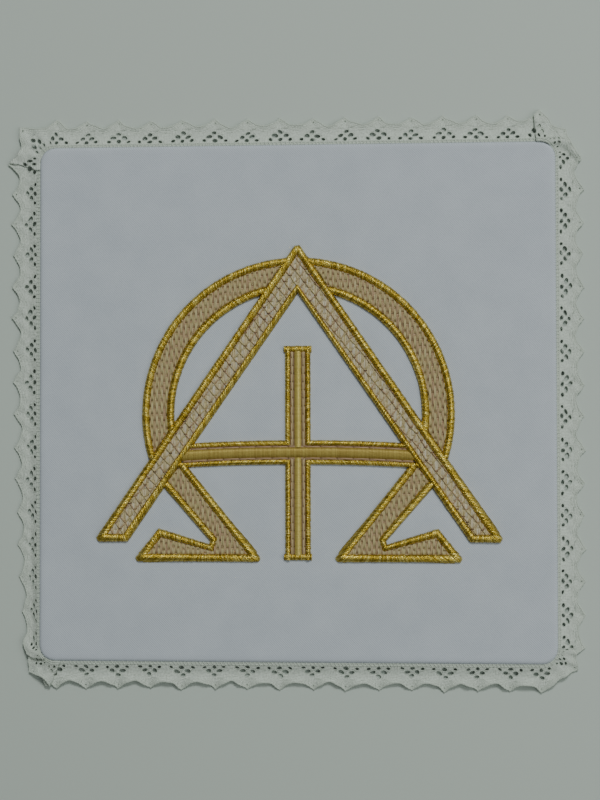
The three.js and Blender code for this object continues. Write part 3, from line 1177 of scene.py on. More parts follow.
@dataclass(frozen=True)
class LaceEdging:
    """One strip of lace, sewn round the panel, gathered and folded at its corners.

    Places along it are counted in repeats, and places across it in millimetres from the panel. The waves
    have how often they go round the edging, their height and their start, in each row. Sway and waver have
    their size, how fast they go along and across the strip, and their start. A hole has its place and its
    radius. A stitch has how far along, out and up each of its points is.
    """

    half: float
    corner_radius: float = 5.0
    repeat: float = 10.0
    straight_repeats: int = 15
    corner_repeats: int = 2
    tooth: float = 8.5
    notch: float = 6.1
    body: float = 4.8
    thickness: float = 0.32
    footing: float = -0.15
    seam_height: float = 1.85
    body_drop: float = 1.36
    body_wave: float = 0.5
    edge_height: float = 0.33
    edge_wave: float = 0.25
    edge_tuck: float = 0.6
    slope: tuple[float, float] = (0.2, 3.8)
    notch_lift: float = 1.25
    notch_wave: float = 0.35
    tooth_crease: float = 0.12
    crease_width: float = 0.07
    ripple: tuple[float, float, float] = (0.07, 2.3, 0.19)
    first: int = 51
    lap: float = 0.23
    lap_slant: float = -0.035
    lap_lift: float = 0.6
    lap_ahead: float = 0.1
    lap_softness: float = 0.06
    fold_flattening: float = 0.3
    shift_softness: float = 0.01
    tuck: float = 0.45
    ruffle: float = 0.22
    ruffle_spread: float = 0.9
    tooth_spread: float = 0.45
    sides: tuple[LaceSide, ...] = (
        LaceSide((-1.2, 1.4), (1.0, 1.0), 0.5, 0.15, (0.0, -0.6, -0.3), 2.1),
        LaceSide((0.3, 0.8), (1.0, 1.0), 1.5, 0.0, (-0.6, -1.4, 1.4), 0.5),
        LaceSide((-1.8, 1.0), (1.0, 1.0), 1.3, 0.0, (0.8, 2.4, 1.4), 0.8),
        LaceSide((-2.4, -1.3), (1.07, 0.6), 1.0, 0.0, (0.0, 0.3, 0.4), 0.1),
    )
    waves: Table = ((5, 0.5, 0.15), (13, 0.35, 0.6), (37, 0.2, 0.35))
    sway: Table = ((0.024, 0.618, 0.13, 0.0), (0.012, 1.41, -0.3, 0.0))
    waver: Table = ((0.2, 0.377, 0.0, 0.3), (0.14, 1.73, 0.17, 0.0))
    waver_start: float = 2.5
    pleats: tuple[Pleat, ...] = (
        Pleat(66.62, -1.2),
        Pleat(68.0, -0.47),
        Pleat(100.88, -1.8),
        Pleat(102.2, 0.1),
    )
    holes: Table = (
        (-3.1, 1.6, 0.56),
        (0.0, 1.55, 0.68),
        (3.1, 1.6, 0.56),
        (-1.6, 2.8, 0.8),
        (1.6, 2.8, 0.8),
        (0.0, 4.05, 0.68),
        (0.0, 7.4, 0.34),
    )
    hole_shape: tuple[float, float] = (1.12, 0.9)
    hole_points: int = 14
    hole_margin: float = 0.96
    seam_points: int = 21
    side_points: int = 14
    edge_points: int = 41
    mesh_step: float = 0.55
    row_step: float = 0.87
    side_clearance: float = 0.2
    edge_clearance: float = 0.25
    hole_clearance: float = 0.3
    ring_thread: LaceThread = LaceThread(width=0.32, sunk=0.08, inset=0.1, points=9)
    edge_thread: LaceThread = LaceThread(width=0.5, sunk=0.11, inset=0.16, waver=0.09, waves=12, points=49)
    inner_threads: tuple[LaceThread, ...] = (
        LaceThread(width=0.5, sunk=0.2, inset=0.85, waver=0.1, waves=9),
        LaceThread(width=0.5, sunk=0.2, inset=1.6, waver=0.1, waves=7),
    )
    ribs: tuple[float, ...] = (-4.3, -3.4, -2.5, -1.5, 1.5, 2.5, 3.4, 4.3)
    rib_roots: Table = ((0.4, 5.0), (0.7, 5.7))
    rib_thread: LaceThread = LaceThread(width=0.34, sunk=0.14, inset=0.3)
    footing_cords: tuple[float, ...] = (0.12, 0.66)
    footing_thread: float = 0.3
    footing_points: int = 25
    footing_pitch: float = 1.25
    footing_twist: tuple[float, float] = (0.12, 0.08)
    tone: float = 0.5
    stitch: Table = ((0.0, -0.25, 0.25), (0.015, 0.05, 0.32), (0.03, 0.45, 0.3), (0.045, 0.9, 0.18))
    stitch_thread: tuple[float, float] = (0.36, 0.32)
    stitch_pitch: float = 0.12
    corner_stitch_start: float = 0.1
    corner_stitch_pitch: float = 0.4

    def side_repeats(self) -> int:
        """Returns the number of repeats on one side and its far corner."""
        return self.straight_repeats + self.corner_repeats

    def round_repeats(self) -> int:
        """Returns the number of repeats once round the panel, apart from those in the pleats."""
        return self.side_repeats() * len(self.sides)

    def scallop(self, across: Array) -> Array:
        """Returns how far out the free edge is, at places across one repeat."""
        return self.tooth - (self.tooth - self.notch) * np.sin(np.pi * np.abs(across) / self.repeat)

    def hole_outline(self, turn: Array) -> Array:
        """Returns points round a hole of radius 1, at angles round it."""
        return np.stack([np.cos(turn), np.sin(turn)], axis=1) * self.hole_shape

    def from_hole(self, across: Array, out: Array) -> Array:
        """Returns how far places are from a hole's middle, counted in its own radii."""
        return np.hypot(across / self.hole_shape[0], out / self.hole_shape[1])

    def unfold(self, strip: Array, out: Array) -> tuple[Array, Array]:
        """Follows the strip through its pleats.

        Args:
            strip: places along the strip.
            out: places across it.

        Returns:
            The places along the seam, and how far the folds lift the lace.
        """
        seam, lift = strip.copy(), np.zeros_like(strip)
        for i, pleat in enumerate(self.pleats):
            edge = pleat.place + pleat.lean * (out - self.body) / self.repeat
            past = strip - (edge - pleat.width + 2 * pleat.width * i)
            for fold, way in ((1, -1), (2, 1)):
                beyond = past - fold * pleat.width
                seam += way * (beyond + np.sqrt(beyond**2 + pleat.softness**2))
                lift -= soft_step(beyond, pleat.fold_softness, pleat.layer)
            lift += soft_step(past + pleat.rise_ahead, pleat.rise_softness, 2 * pleat.layer)
        lap_start = self.first - 0.5 + self.round_repeats()
        lift += soft_step(seam - lap_start + self.lap_ahead, self.lap_softness, self.lap_lift)
        free = np.clip((out - self.body) / (self.tooth - self.body), 0, 1)
        return seam, lift * (1 - self.fold_flattening * free)

    def wobble(self, strip: Array, out: Array) -> tuple[Array, Array]:
        """Makes each repeat a little different.

        Args:
            strip: places along the strip.
            out: places across it.

        Returns:
            The places, shifted a little along and across.
        """
        along, across = (
            sum(
                size * np.sin(TURN * (fast * strip + slant * out + start))
                for size, fast, slant, start in rows
            )
            for rows in (self.sway, self.waver)
        )
        return strip + along, out + np.clip(out / self.waver_start, 0, 1) * across

    def surface(self, strip: Array, out: Array) -> Array:
        """Finds where places on the strip lie.

        Args:
            strip: places along the strip, in repeats.
            out: places across it, in millimetres from the panel.

        Returns:
            Points in millimetres, with the axis last.
        """
        strip, out = self.wobble(np.asarray(strip, dtype=float), np.asarray(out, dtype=float))
        seam, fold = self.unfold(strip, out)
        turns = np.floor(seam / self.side_repeats())
        side = turns.astype(int) % len(self.sides)
        along = seam - turns * self.side_repeats()
        share = np.clip(along / self.straight_repeats, 0, 1)
        table = np.array([[*row.shift, row.swing, *row.width, row.curl] for row in self.sides])
        next_width, next_curl = np.moveaxis(np.roll(table, -1, axis=0)[side][..., [3, 5]], -1, 0)
        start_shift, end_shift, swing, start_width, end_width, curl = np.moveaxis(table[side], -1, 0)
        shift = start_shift + (end_shift - start_shift) * share
        fade = np.sqrt(np.sin(np.pi * share) + self.shift_softness) - math.sqrt(self.shift_softness)
        shift = shift * fade
        corner = np.clip((along - self.straight_repeats) / self.corner_repeats, 0, 1)
        turn = (corner + 4 * swing * corner * (1 - corner)) * np.pi / 2
        width = start_width + (end_width - start_width) * share**3 + (next_width - end_width) * corner
        curl = curl + (next_curl - curl) * corner
        far = self.half - self.corner_radius
        lift, longer = self.corner_tuck(seam)
        reach = self.corner_radius + out * width * (1 + longer / self.tooth)
        x = far * (2 * share - 1) + shift + np.sin(turn) * reach
        y = -far - np.cos(turn) * reach
        quarter = side * np.pi / 2
        height = self.height(strip, seam, out, lift, curl) + fold
        turned = x * np.cos(quarter) - y * np.sin(quarter), x * np.sin(quarter) + y * np.cos(quarter)
        return np.stack([*turned, height], axis=-1)

    def corner_tuck(self, seam: Array) -> tuple[Array, Array]:
        """Finds how the corners lift the lace and lengthen their teeth.

        Args:
            seam: places along the seam.

        Returns:
            The lift and the added length.
        """
        total = self.round_repeats()
        lift, longer = np.zeros_like(seam), np.zeros_like(seam)
        for i, row in enumerate(self.sides):
            corner = (i + 1) * self.side_repeats() - self.corner_repeats / 2
            away = (seam - corner + total / 2) % total - total / 2
            lift += self.tuck * row.lift * bell(away, 1)
            lift += self.ruffle * bell(away, self.ruffle_spread) * np.sin(2 * TURN * seam)
            for tooth, length in enumerate(row.longer):
                longer += length * bell(away - tooth + 1, self.tooth_spread)
        return lift, longer

    def height(self, strip: Array, seam: Array, out: Array, lift: Array, curl: Array) -> Array:
        """Finds the height of the lace's middle.

        Args:
            strip: places along the strip.
            seam: places along the seam.
            out: places across the strip.
            lift: how far the corners lift it.
            curl: how far the notches curl up, as a share of their usual lift.

        Returns:
            Heights above the surface that the pall lies on.
        """
        round_share = seam / self.round_repeats()
        wave = sum(
            size * (1 + np.sin(TURN * (count * round_share + start))) / 2 for count, size, start in self.waves
        )
        body = self.seam_height - self.body_drop + self.body_wave * wave + lift
        inner = np.clip((out - self.slope[0]) / (self.slope[1] - self.slope[0]), 0, 1)
        inner = inner**2 * (3 - 2 * inner)
        outer = np.clip((out - self.body) / (self.tooth - self.body), 0, 1.05)
        notch = np.sin(np.pi * strip) ** 2
        edge = self.edge_height + self.edge_wave * wave + self.edge_tuck * lift
        edge = edge + (self.notch_lift + self.notch_wave * wave) * curl * notch
        size, fast, slant = self.ripple
        ripple = size * inner * np.sin(TURN * (fast * strip + slant * out))
        crease = self.tooth_crease * np.sin(np.pi * outer) ** 2
        crease = crease * bell(strip - np.round(strip), self.crease_width)
        return self.seam_height + (body - self.seam_height) * inner + (edge - body) * outer + ripple - crease

    def normal(self, strip: Array, out: Array) -> Array:
        """Finds the way out of the lace's face.

        Args:
            strip: places along the strip.
            out: places across it.

        Returns:
            The way out at each place, of length 1.
        """
        small = 0.01
        along = self.surface(strip + small, out) - self.surface(strip - small, out)
        across = self.surface(strip, out + small) - self.surface(strip, out - small)
        way = np.cross(across, along)
        return way / np.linalg.norm(way, axis=-1, keepdims=True)

    def repeats(self) -> Array:
        """Returns the number of every whole repeat, from the strip's start to its lapped end."""
        return self.first + np.arange(self.round_repeats() + len(self.pleats))

    def repeat_mesh(self) -> tuple[Array, Array]:
        """Makes one repeat of the lace, flat and with its holes.

        Returns:
            Its points, across and out from the panel, and its triangles.
        """
        half = self.repeat / 2
        outs = np.linspace(self.footing, self.notch, self.side_points)
        edge = np.linspace(half, -half, self.edge_points)[1:-1]
        seam = np.linspace(-half, half, self.seam_points)[1:-1]
        rim = np.concatenate(
            [
                np.stack([seam, np.full(len(seam), outs[0])], axis=1),
                np.stack([np.full(len(outs), half), outs], axis=1),
                np.stack([edge, self.scallop(edge)], axis=1),
                np.stack([np.full(len(outs), -half), outs[::-1]], axis=1),
            ]
        )
        points = [rim]
        loops = [len(rim)]
        for x, y, radius in self.holes:
            turn = np.linspace(0, TURN, self.hole_points, endpoint=False)
            points.append(np.array([x, y]) + radius * self.hole_outline(turn))
            loops.append(len(turn))
        points = np.concatenate([*points, self.inner_points()])
        starts = np.concatenate([[0], np.cumsum(loops)])
        edges = [
            (int(start + i), int(start + (i + 1) % size))
            for start, size in zip(starts[:-1], loops)
            for i in range(size)
        ]
        made = delaunay_2d_cdt([Vector(point) for point in points], edges, [], 0, NEAR / 10)
        places = np.array([tuple(point) for point in made[0]])
        triangles = np.array(made[2])
        middles = places[triangles].mean(axis=1)
        kept = within(rim)(middles[:, 0], middles[:, 1])
        for x, y, radius in self.holes:
            kept &= self.from_hole(middles[:, 0] - x, middles[:, 1] - y) > self.hole_margin * radius
        return places, triangles[kept]

    def inner_points(self) -> Array:
        """Spreads points over one repeat, clear of its holes and its edge.

        Returns:
            The points, across and out from the panel.
        """
        half = self.repeat / 2
        x, y = np.meshgrid(
            np.arange(-half + self.mesh_step / 2, half, self.mesh_step),
            np.arange(self.footing + self.mesh_step / 2, self.tooth, self.mesh_step * self.row_step),
        )
        x = x + (np.arange(len(x)) % 2)[:, None] * self.mesh_step / 2 - self.mesh_step / 4
        clear = (np.abs(x) < half - self.side_clearance) & (y < self.scallop(x) - self.edge_clearance)
        for hole_x, hole_y, radius in self.holes:
            clear &= self.from_hole(x - hole_x, y - hole_y) > radius + self.hole_clearance
        return np.stack([x[clear], y[clear]], axis=1)

    def flat_strip(self) -> bmesh.types.BMesh:
        """Lays the whole strip out flat, with its lapped end cut on the slant.

        Returns:
            The strip, in millimetres.
        """
        places, triangles = self.repeat_mesh()
        numbers = np.append(self.repeats(), self.repeats()[-1] + 1)
        flat = np.zeros((len(numbers), len(places), 3))
        flat[..., 0] = numbers[:, None] * self.repeat + places[:, 0]
        flat[..., 1] = places[:, 1]
        faces = triangles[None] + (np.arange(len(numbers)) * len(places))[:, None, None]
        mesh = bpy.data.meshes.new("flat_strip")
        mesh.from_pydata(flat.reshape(-1, 3).tolist(), [], faces.reshape(-1, 3).tolist())
        bm = bmesh.new()
        bm.from_mesh(mesh)
        bpy.data.meshes.remove(mesh)
        bmesh.ops.delete(bm, geom=[vertex for vertex in bm.verts if not vertex.link_faces], context="VERTS")
        bmesh.ops.remove_doubles(bm, verts=bm.verts, dist=NEAR)
        end = (numbers[-1] + self.lap) * self.repeat
        slant = Vector((1, -self.lap_slant * self.repeat, 0)).normalized()
        geometry = [*bm.verts, *bm.edges, *bm.faces]
        bmesh.ops.bisect_plane(bm, geom=geometry, plane_co=(end, 0, 0), plane_no=slant, clear_outer=True)
        return bm

    def build_cloth(self) -> Piece:
        """Builds the strip with its holes.

        Returns:
            The strip, in place.
        """
        bm = self.flat_strip()
        uv = bm.loops.layers.uv.new("strip")
        for face in bm.faces:
            for loop in face.loops:
                loop[uv].uv = loop.vert.co.xy
        flat = np.array([vertex.co for vertex in bm.verts])
        for vertex, place in zip(bm.verts, self.surface(flat[:, 0] / self.repeat, flat[:, 1]) * MM):
            vertex.co = place
        bmesh.ops.triangulate(bm, faces=bm.faces)
        mesh = bpy.data.meshes.new("lace_cloth")
        bm.to_mesh(mesh)
        bm.free()
        piece = smooth_piece("lace_cloth", mesh)
        solid = piece.modifiers.new("thickness", "SOLIDIFY")
        solid.thickness = self.thickness * MM
        solid.offset = 0
        return piece

    def thread_rows(
        self, bundle: ThreadBundle, rows: Array, width: float, rise: Array | float, closed: bool = False
    ) -> None:
        """Repeats threads along the whole strip.

        Args:
            bundle: where the threads go.
            rows: the threads of one repeat, by thread, point, and place across and out.
            width: how thick the threads are.
            rise: how far their middles stand above the lace's middle.
            closed: whether each runs back into its start.
        """
        strip = self.repeats()[:, None, None] + rows[None, :, :, 0] / self.repeat
        out = np.broadcast_to(rows[None, :, :, 1], strip.shape)
        strip, out = (places.reshape(-1, rows.shape[1]) for places in (strip, out))
        up = self.normal(strip, out)
        paths = self.surface(strip, out) + up * np.broadcast_to(rise, strip.shape)[..., None]
        bundle.lay(paths, width, width, self.tone, up, closed)

    def edge_row(self, bundle: ThreadBundle, thread: LaceThread) -> None:
        """Lays a thread along the free edge of the whole strip.

        Args:
            bundle: where the thread goes.
            thread: the thread.
        """
        walk = np.linspace(-self.repeat / 2, self.repeat / 2, thread.points)
        wavering = thread.waver * np.cos(TURN * walk * thread.waves / self.repeat)
        row = np.stack([walk, self.scallop(walk) - thread.inset + wavering], axis=1)
        self.thread_rows(bundle, row[None], thread.width, self.thickness / 2 - thread.sunk)

    def build_threads(self) -> Piece:
        """Builds the thicker threads: round the holes, along the free edge, and fanned out to the teeth.

        Returns:
            The threads, in place.
        """
        bundle = ThreadBundle()
        above = self.thickness / 2
        ring = self.ring_thread
        turn = np.linspace(0, TURN, ring.points, endpoint=False)
        for x, y, radius in self.holes:
            row = np.array([x, y]) + (radius + ring.inset) * self.hole_outline(turn)
            self.thread_rows(bundle, row[None], ring.width, above - ring.sunk, closed=True)
        self.edge_row(bundle, self.edge_thread)
        rib = self.rib_thread
        tips = [(x, self.scallop(x) - rib.inset) for x in self.ribs]
        rows = [[*((share * tip[0], out) for share, out in self.rib_roots), tip] for tip in tips]
        self.thread_rows(bundle, np.array(rows), rib.width, above - rib.sunk)
        for thread in self.inner_threads:
            self.edge_row(bundle, thread)
        return bundle.build("lace_threads")

    def build_footing(self) -> Piece:
        """Builds the two twisted cords along the lace's straight edge.

        Returns:
            The cords, in place.
        """
        bundle = ThreadBundle()
        walk = np.linspace(-self.repeat / 2, self.repeat / 2, self.footing_points)
        aside, up = self.footing_twist
        for out in self.footing_cords:
            for phase in (0, np.pi):
                swing = TURN * walk / self.footing_pitch + phase
                twist = np.stack([walk, out + aside * np.sin(swing)], axis=1)[None]
                self.thread_rows(bundle, twist, self.footing_thread, self.thickness / 2 + up * np.cos(swing))
        return bundle.build("lace_footing")

    def build_stitches(self) -> Piece:
        """Builds the small stitches that hold the lace to the panel.

        Returns:
            The stitches, in place.
        """
        bundle = ThreadBundle()
        corner = np.arange(self.corner_stitch_start, self.corner_repeats, self.corner_stitch_pitch)
        side = np.arange(0, self.straight_repeats, self.stitch_pitch)
        side = np.concatenate([side, self.straight_repeats + corner])
        starts = np.concatenate([side + i * self.side_repeats() for i in range(len(self.sides))])
        along, out, rise = np.array(self.stitch).T
        strip = starts[:, None] + along
        paths = replace(self, pleats=()).surface(strip, np.broadcast_to(out, strip.shape))
        paths[..., 2] += rise
        bundle.lay(paths, *self.stitch_thread, self.tone)
        return bundle.build("edge_stitches")


@dataclass
class Embroidery:
    """The gold motif: a chevron over a horseshoe, with a cross between the chevron's legs."""

    lift: float
    aside: float = 0.7
    border: SatinBorder = SatinBorder(width=2.2, height=1.25)
    thin_border: SatinBorder = SatinBorder(width=1.5, height=1.05, thread=0.4, pitch=0.34, lean=0.3)
    bricks: BrickFill = BrickFill()
    trellis: TrellisFill = TrellisFill()
    apex_y: float = 49.5
    foot_y: float = -42.7
    half_span: float = 63.2
    leg_across: float = 10.4
    ring_centre_y: float = -3.4
    ring_outer: float = 48.1
    ring_inner: float = 38.3
    ring_degrees: tuple[float, float] = (92.0, 200.0)
    foot: tuple[tuple[float, float], ...] = (
        (-10.8, -48.8),
        (-36.3, -17.0),
        (-43.4, -23.6),
        (-27.0, -42.4),
        (-27.3, -43.7),
        (-43.0, -38.8),
        (-51.1, -48.8),
    )
    fill_inset: float = 0.85
    chevron_lift: float = 0.12
    chevron_tuck: float = 0.5
    bar_tuck: float = 0.6
    ring_points: int = 90
    ring_box_bottom: float = -26.0
    sewn_pitch: float = 1.2
    post_width: float = 7.6
    post_top: float = 17.4
    post_bottom: float = -48.3
    post_end: float = 1.8
    post_end_overlap: float = 0.8
    post_gap: float = 0.2
    post_overhang: float = 0.45
    post_x: float = 0.1
    bar_y: float = -15.3
    bar_height: float = 7.2
    bar_reach: float = 40.0
    bar_bow: float = 1.3
    bar_overrun: float = 1.4
    bar_points: int = 21
    # The bar's outer line, the darker one next to its border, is painted shadow of the border's inner edge.
    bar: SatinBar = SatinBar(core=3.1, height=1.15, lines=((0.3, 0.45), (0.16, 0.45)), tone=0.24)
    post: SatinBar = SatinBar(
        core=2.1, height=0.95, lines=((0.12, 0.3), (0.44, 0.5), (0.4, 0.5), (0.12, 0.3))
    )
    rng: Chance = field(default_factory=lambda: np.random.default_rng(SEED))
    sewn: list[Array] = field(default_factory=list)
    pieces: list[Piece] = field(default_factory=list)

    def chevron(self) -> Array:
        """Draws the chevron.

        Returns:
            Its outline.
        """
        inner_y = self.apex_y - self.leg_across * (self.apex_y - self.foot_y) / self.half_span
        inner = self.half_span - self.leg_across
        return np.array(
            [
                (0, self.apex_y),
                (-self.half_span, self.foot_y),
                (-inner, self.foot_y),
                (0, inner_y),
                (inner, self.foot_y),
                (self.half_span, self.foot_y),
            ]
        )

    def leg_slope(self) -> float:
        """Returns how far the chevron's legs spread for each millimetre down."""
        return self.half_span / (self.apex_y - self.foot_y)

    def beside_chevron(self) -> Array:
        """Returns the outline that other stitches keep clear of, tucked a little under the chevron's edge."""
        return inset_outline(self.chevron(), self.chevron_tuck)

    def bow(self, x: Array) -> Array:
        """Returns how far the cross's bar rises at places along it, which is below 0 towards its ends."""
        straight = self.post_width / 2
        return -self.bar_bow * (np.clip(np.abs(x) - straight, 0, None) / (self.bar_reach - straight)) ** 2

    def bar_outline(self) -> Array:
        """Draws the cross's bar.

        Returns:
            Its outline.
        """
        x = np.linspace(-self.bar_reach, self.bar_reach, self.bar_points)
        middle, half = self.bar_y + self.bow(x), self.bar_height / 2
        edges = np.stack([x, middle - half], axis=1), np.stack([x, middle + half], axis=1)[::-1]
        return np.concatenate(edges)

    def finish(self, bundle: ThreadBundle, name: str, slot: Slot, material: Material, *nodes: str) -> None:
        """Builds a bundle of stitches as a piece, moved to the motif's place on the panel.

        Args:
            bundle: the stitches.
            name: the piece's name.
            slot: the finish's name in the record.
            material: the finish.
            nodes: the solids that the piece stands for.
        """
        for vertices in bundle.vertices:
            vertices[:, 0] += self.aside
        piece = bundle.build(name)
        adopt(piece, slot, material, nodes)
        self.pieces.append(piece)

    def border_piece(
        self,
        node: str,
        stretches: list[Stretch],
        style: SatinBorder,
        keep: Region,
        material: Material,
        lift: float = 0.0,
        bowed: bool = False,
    ) -> None:
        """Builds one border as a piece.

        Args:
            node: the solid that it stands for.
            stretches: the outer and the inner edge of each stretch.
            style: how it is worked.
            keep: the places where stitches are worked.
            material: the finish.
            lift: how far it lies above the cloth, on other stitches.
            bowed: whether it follows the bow of the cross's bar.
        """
        bundle = ThreadBundle()
        bow = self.bow if bowed else np.zeros_like
        style.work(bundle, stretches, self.lift + lift, self.rng, lambda x, y: keep(x, y + bow(x)))
        bundle.move(bow)
        for outer, _ in stretches:
            places = even_steps(outer, self.sewn_pitch)
            places[:, 1] += bow(places[:, 0])
            self.sewn.append(places[keep(places[:, 0], places[:, 1])] + np.array([self.aside, 0]))
        self.finish(bundle, f"{node}_stitches", Slot.CORD, material, node)

    def build(self) -> None:
        """Builds every stitched piece."""
        gold, satin, tan = (style.material() for style in (GLITTERING_GOLD, SMOOTH_GOLD, SILKY_TAN))
        chevron = self.chevron()
        stretches = edge_stretches(chevron, self.border.width)
        self.border_piece("chevron_cord", stretches, self.border, outside(), gold, lift=self.chevron_lift)
        bundle = ThreadBundle()
        region = inset_outline(chevron, self.border.width * self.fill_inset)
        self.trellis.work(bundle, within(region), box_of(region), self.lift, self.rng)
        self.finish(bundle, "chevron_fill_stitches", Slot.TAN, tan, "chevron_fill")
        for half in Half:
            self.build_ring(half, gold, tan)
            self.build_foot(half, gold, tan)
        self.build_cross(gold, satin, tan)

    def build_ring(self, half: Half, gold: Material, tan: Material) -> None:
        """Builds one half of the horseshoe's ring.

        Args:
            half: which half.
            gold: the border's finish.
            tan: the fill's finish.
        """
        side, sign = half.name.lower(), half.value
        centre = np.array([0, self.ring_centre_y])
        turn = np.radians(np.linspace(*self.ring_degrees, self.ring_points))
        circle = np.stack([sign * np.cos(turn), np.sin(turn)], axis=1)
        keep = outside(self.beside_chevron())
        width = self.border.width
        for name, radius, inner in (
            ("outer", self.ring_outer, self.ring_outer - width),
            ("inner", self.ring_inner, self.ring_inner + width),
        ):
            stretch = (centre + radius * circle, centre + inner * circle)
            self.border_piece(f"horseshoe_ring_{name}_cord_{side}", [stretch], self.border, keep, gold)
        low, high = self.ring_inner + self.fill_inset * width, self.ring_outer - self.fill_inset * width

        def region(x: Array, y: Array) -> Array:
            """Tests places.

            Args:
                x: how far across they are.
                y: how far up they are.

            Returns:
                Whether each is in this half of the ring, outside the chevron's legs.
            """
            radius = np.hypot(x, y - self.ring_centre_y)
            beside = -sign * x > self.leg_slope() * (self.apex_y - y)
            return (radius > low) & (radius < high) & beside & keep(x, y)

        bundle = ThreadBundle()
        left = -high if half is Half.LEFT else 0.0
        box = np.array([(left, self.ring_box_bottom), (left + high, high)])
        self.bricks.work(bundle, region, box, self.lift, self.rng)
        node = f"horseshoe_ring_fill_{side}"
        self.finish(bundle, f"{node}_stitches", Slot.TAN, tan, node)

    def build_foot(self, half: Half, gold: Material, tan: Material) -> None:
        """Builds one foot of the horseshoe.

        Args:
            half: which half of the motif it is in.
            gold: the border's finish.
            tan: the fill's finish.
        """
        side, mirror = half.name.lower(), np.array([half.value, 1])
        outline = np.array(self.foot)
        keep = outside(self.beside_chevron(), inset_outline(self.bar_outline(), self.bar_tuck))
        stretches = [(a * mirror, b * mirror) for a, b in edge_stretches(outline, self.border.width)]
        self.border_piece(f"horseshoe_foot_cord_{side}", stretches, self.border, keep, gold)
        fill = inset_outline(outline, self.fill_inset * self.border.width) * mirror
        inside = within(fill)
        bundle = ThreadBundle()
        self.bricks.work(bundle, lambda x, y: inside(x, y) & keep(x, y), box_of(fill), self.lift, self.rng)
        node = f"horseshoe_foot_fill_{side}"
        self.finish(bundle, f"{node}_stitches", Slot.TAN, tan, node)

    def cross_stretches(self, sign: int, end: float) -> list[Stretch]:
        """Finds the cross's border on one side of its bar.

        Args:
            sign: 1 above the bar, -1 below it.
            end: the height of the post's end.

        Returns:
            The outer and the inner edge of each stretch.
        """
        width = self.thin_border.width
        far, half = self.bar_reach, self.post_width / 2
        edge = self.bar_y + sign * self.bar_height / 2
        stretches = []
        for way in (-1, 1):
            side, inside = self.post_x + way * half, self.post_x + way * (half - width)
            within_edge = edge - sign * width
            outer = np.array([(way * far, edge), (side, edge), (side, end)])
            inner = np.array([(way * far, within_edge), (inside, within_edge), (inside, end)])
            stretches += [(outer[:2], inner[:2]), (outer[1:], inner[1:])]
        reach = half + self.post_overhang
        tip = np.array([(self.post_x - reach, end), (self.post_x + reach, end)])
        return [*stretches, (tip, tip - np.array([0, sign * self.post_end]))]

    def build_cross(self, gold: Material, satin: Material, tan: Material) -> None:
        """Builds the cross: its borders, its smooth bars and the lines beside them.

        Args:
            gold: the borders' finish.
            satin: the bars' finish.
            tan: the lines' finish.
        """
        keep = outside(self.beside_chevron())
        for name, sign, end in (("upper", 1, self.post_top), ("lower", -1, self.post_bottom)):
            stretches = self.cross_stretches(sign, end)
            self.border_piece(f"cross_cord_{name}", stretches, self.thin_border, keep, gold, bowed=True)
        border = self.fill_inset * self.thin_border.width
        bar_outer, post_outer = self.bar_height / 2 - border, self.post_width / 2 - border
        reach = self.leg_slope() * (self.apex_y - self.bar_y) - self.leg_across + self.bar_overrun
        bar_edge = self.bar.core / 2 + self.post_gap
        end_tuck = self.post_end_overlap * self.post_end
        left, right = (-reach, self.bar_y), (reach, self.bar_y)
        bottom, below = (self.post_x, self.post_bottom + end_tuck), (self.post_x, self.bar_y - bar_edge)
        above, top = (self.post_x, self.bar_y + bar_edge), (self.post_x, self.post_top - end_tuck)
        lines = ThreadBundle()
        for node, style, start, end, outer in (
            ("cross_bar_satin", self.bar, left, right, bar_outer),
            ("cross_post_satin_upper", self.post, above, top, post_outer),
            ("cross_post_satin_lower", self.post, bottom, below, post_outer),
        ):
            bundle = ThreadBundle()
            style.work(bundle, np.array(start), np.array(end), self.lift, self.rng)
            style.edge_lines(lines, np.array(start), np.array(end), outer, self.lift)
            bundle.move(self.bow)
            self.finish(bundle, f"{node}_stitches", Slot.SATIN, satin, node)
        lines.move(self.bow)
        self.finish(lines, "cross_lines", Slot.TAN, tan)


@dataclass(frozen=True)
class SoftLight:
    """A soft square light that faces the pall: its place and its side in metres, and its power in watts."""

    name: str
    place: tuple[float, float, float]
    size: float
    power: float

    def build(self, colour: tuple[float, float, float]) -> None:
        """Hangs the light.

        Args:
            colour: the light's colour.
        """
        data = bpy.data.lights.new(self.name, "AREA")
        data.size = self.size
        data.energy = self.power
        data.color = colour
        lamp = bpy.data.objects.new(self.name, data)
        lamp.location = self.place
        lamp.rotation_euler = (-Vector(self.place)).to_track_quat("-Z", "Y").to_euler()
        bpy.context.scene.collection.objects.link(lamp)


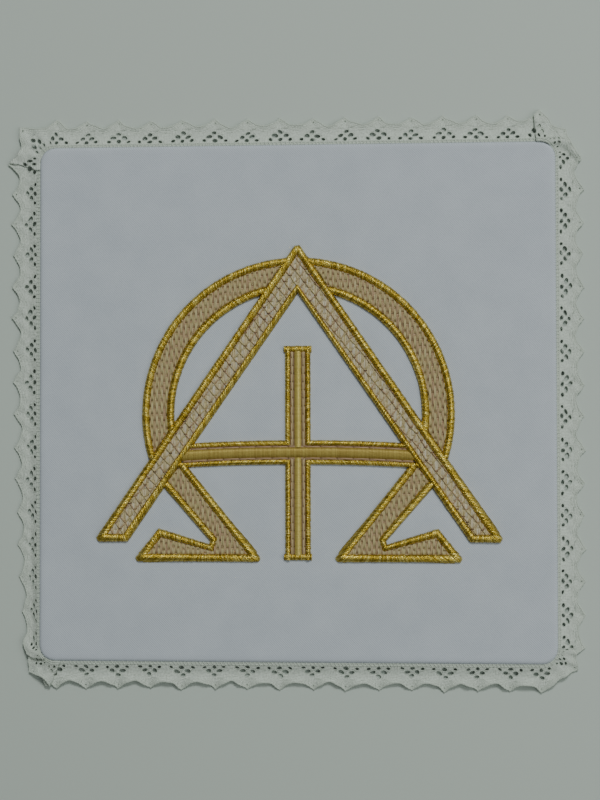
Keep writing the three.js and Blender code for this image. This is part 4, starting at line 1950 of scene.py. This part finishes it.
@dataclass(frozen=True)
class Studio:
    """The plain pale floor, the soft light and the camera at the photograph's angle.

    The camera's distance and its offsets are in millimetres.
    """

    floor_colour: Colour = linear(206, 216, 208)
    floor_size: float = 3.0
    lens: float = 65.4
    distance: float = 450.5
    aside: float = -1.27
    above: float = -0.9
    pitch_degrees: float = -1.19
    yaw_degrees: float = -3.48
    roll_degrees: float = 0.11
    sky: float = 0.13
    sky_colour: Colour = (0.93, 1.0, 0.97, 1.0)
    light_colour: tuple[float, float, float] = (0.96, 1.0, 0.97)
    lights: tuple[SoftLight, ...] = (
        SoftLight("key_light", (0.35, 1.15, 1.5), size=0.4, power=16.4),
        SoftLight("fill_light", (0.6, -0.1, 0.7), size=0.7, power=1.85),
    )

    def build(self) -> None:
        """Builds the floor, the lights and the camera."""
        self.build_floor()
        for light in self.lights:
            light.build(self.light_colour)
        world = bpy.data.worlds.new("soft_room")
        world.use_nodes = True
        background = world.node_tree.nodes["Background"]
        background.inputs["Color"].default_value = self.sky_colour
        background.inputs["Strength"].default_value = self.sky
        bpy.context.scene.world = world
        self.build_camera()

    def build_floor(self) -> None:
        """Builds the floor that the pall lies on."""
        bm = bmesh.new()
        bmesh.ops.create_grid(bm, x_segments=1, y_segments=1, size=self.floor_size / 2)
        mesh = bpy.data.meshes.new("floor")
        bm.to_mesh(mesh)
        bm.free()
        floor = bpy.data.objects.new("floor", mesh)
        bpy.context.scene.collection.objects.link(floor)
        shader = Shader("pale_floor")
        shader.set(Base_Color=self.floor_colour, Roughness=0.8)
        mesh.materials.append(shader.material)

    def build_camera(self) -> None:
        """Sets the camera square above the pall, turned a little as in the photograph."""
        data = bpy.data.cameras.new("camera")
        data.lens = self.lens
        camera = bpy.data.objects.new("camera", data)
        turn = Matrix.Rotation(math.radians(self.pitch_degrees), 3, "X")
        turn = turn @ Matrix.Rotation(math.radians(self.yaw_degrees), 3, "Y")
        turn = turn @ Matrix.Rotation(math.radians(self.roll_degrees), 3, "Z")
        back = turn.transposed()
        offset = Vector((self.aside, self.above, -self.distance)) * MM
        camera.matrix_world = Matrix.Translation(-(back @ offset)) @ back.to_4x4()
        bpy.context.scene.collection.objects.link(camera)
        bpy.context.scene.camera = camera


def main() -> None:
    """Builds the pall's pieces in order, then the studio."""
    logging.basicConfig(level=logging.INFO, format="%(name)s %(message)s")
    panel = Panel(*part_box("panel"))
    embroidery = Embroidery(lift=panel.top())
    embroidery.build()
    cover = panel.build(np.concatenate(embroidery.sewn))
    adopt(cover, Slot.CLOTH, TwillCloth().material(), ("panel",))
    side = 2 * panel.half() * MM
    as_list(embroidery.pieces)
    edging = LaceEdging(half=panel.half(), corner_radius=panel.corner_radius)
    cotton = LaceCotton().material()
    lace = edging.build_cloth()
    adopt(lace, Slot.LACE, cotton, ("lace_edging",))
    threads = [edging.build_threads(), edging.build_footing(), edging.build_stitches()]
    for piece in threads:
        adopt(piece, Slot.LACE, cotton)
    flat = edging.flat_strip()
    area = sum(face.calc_area() for face in flat.faces) * MM**2
    flat.free()
    Studio().build()


if __name__ == "__main__":
    main()
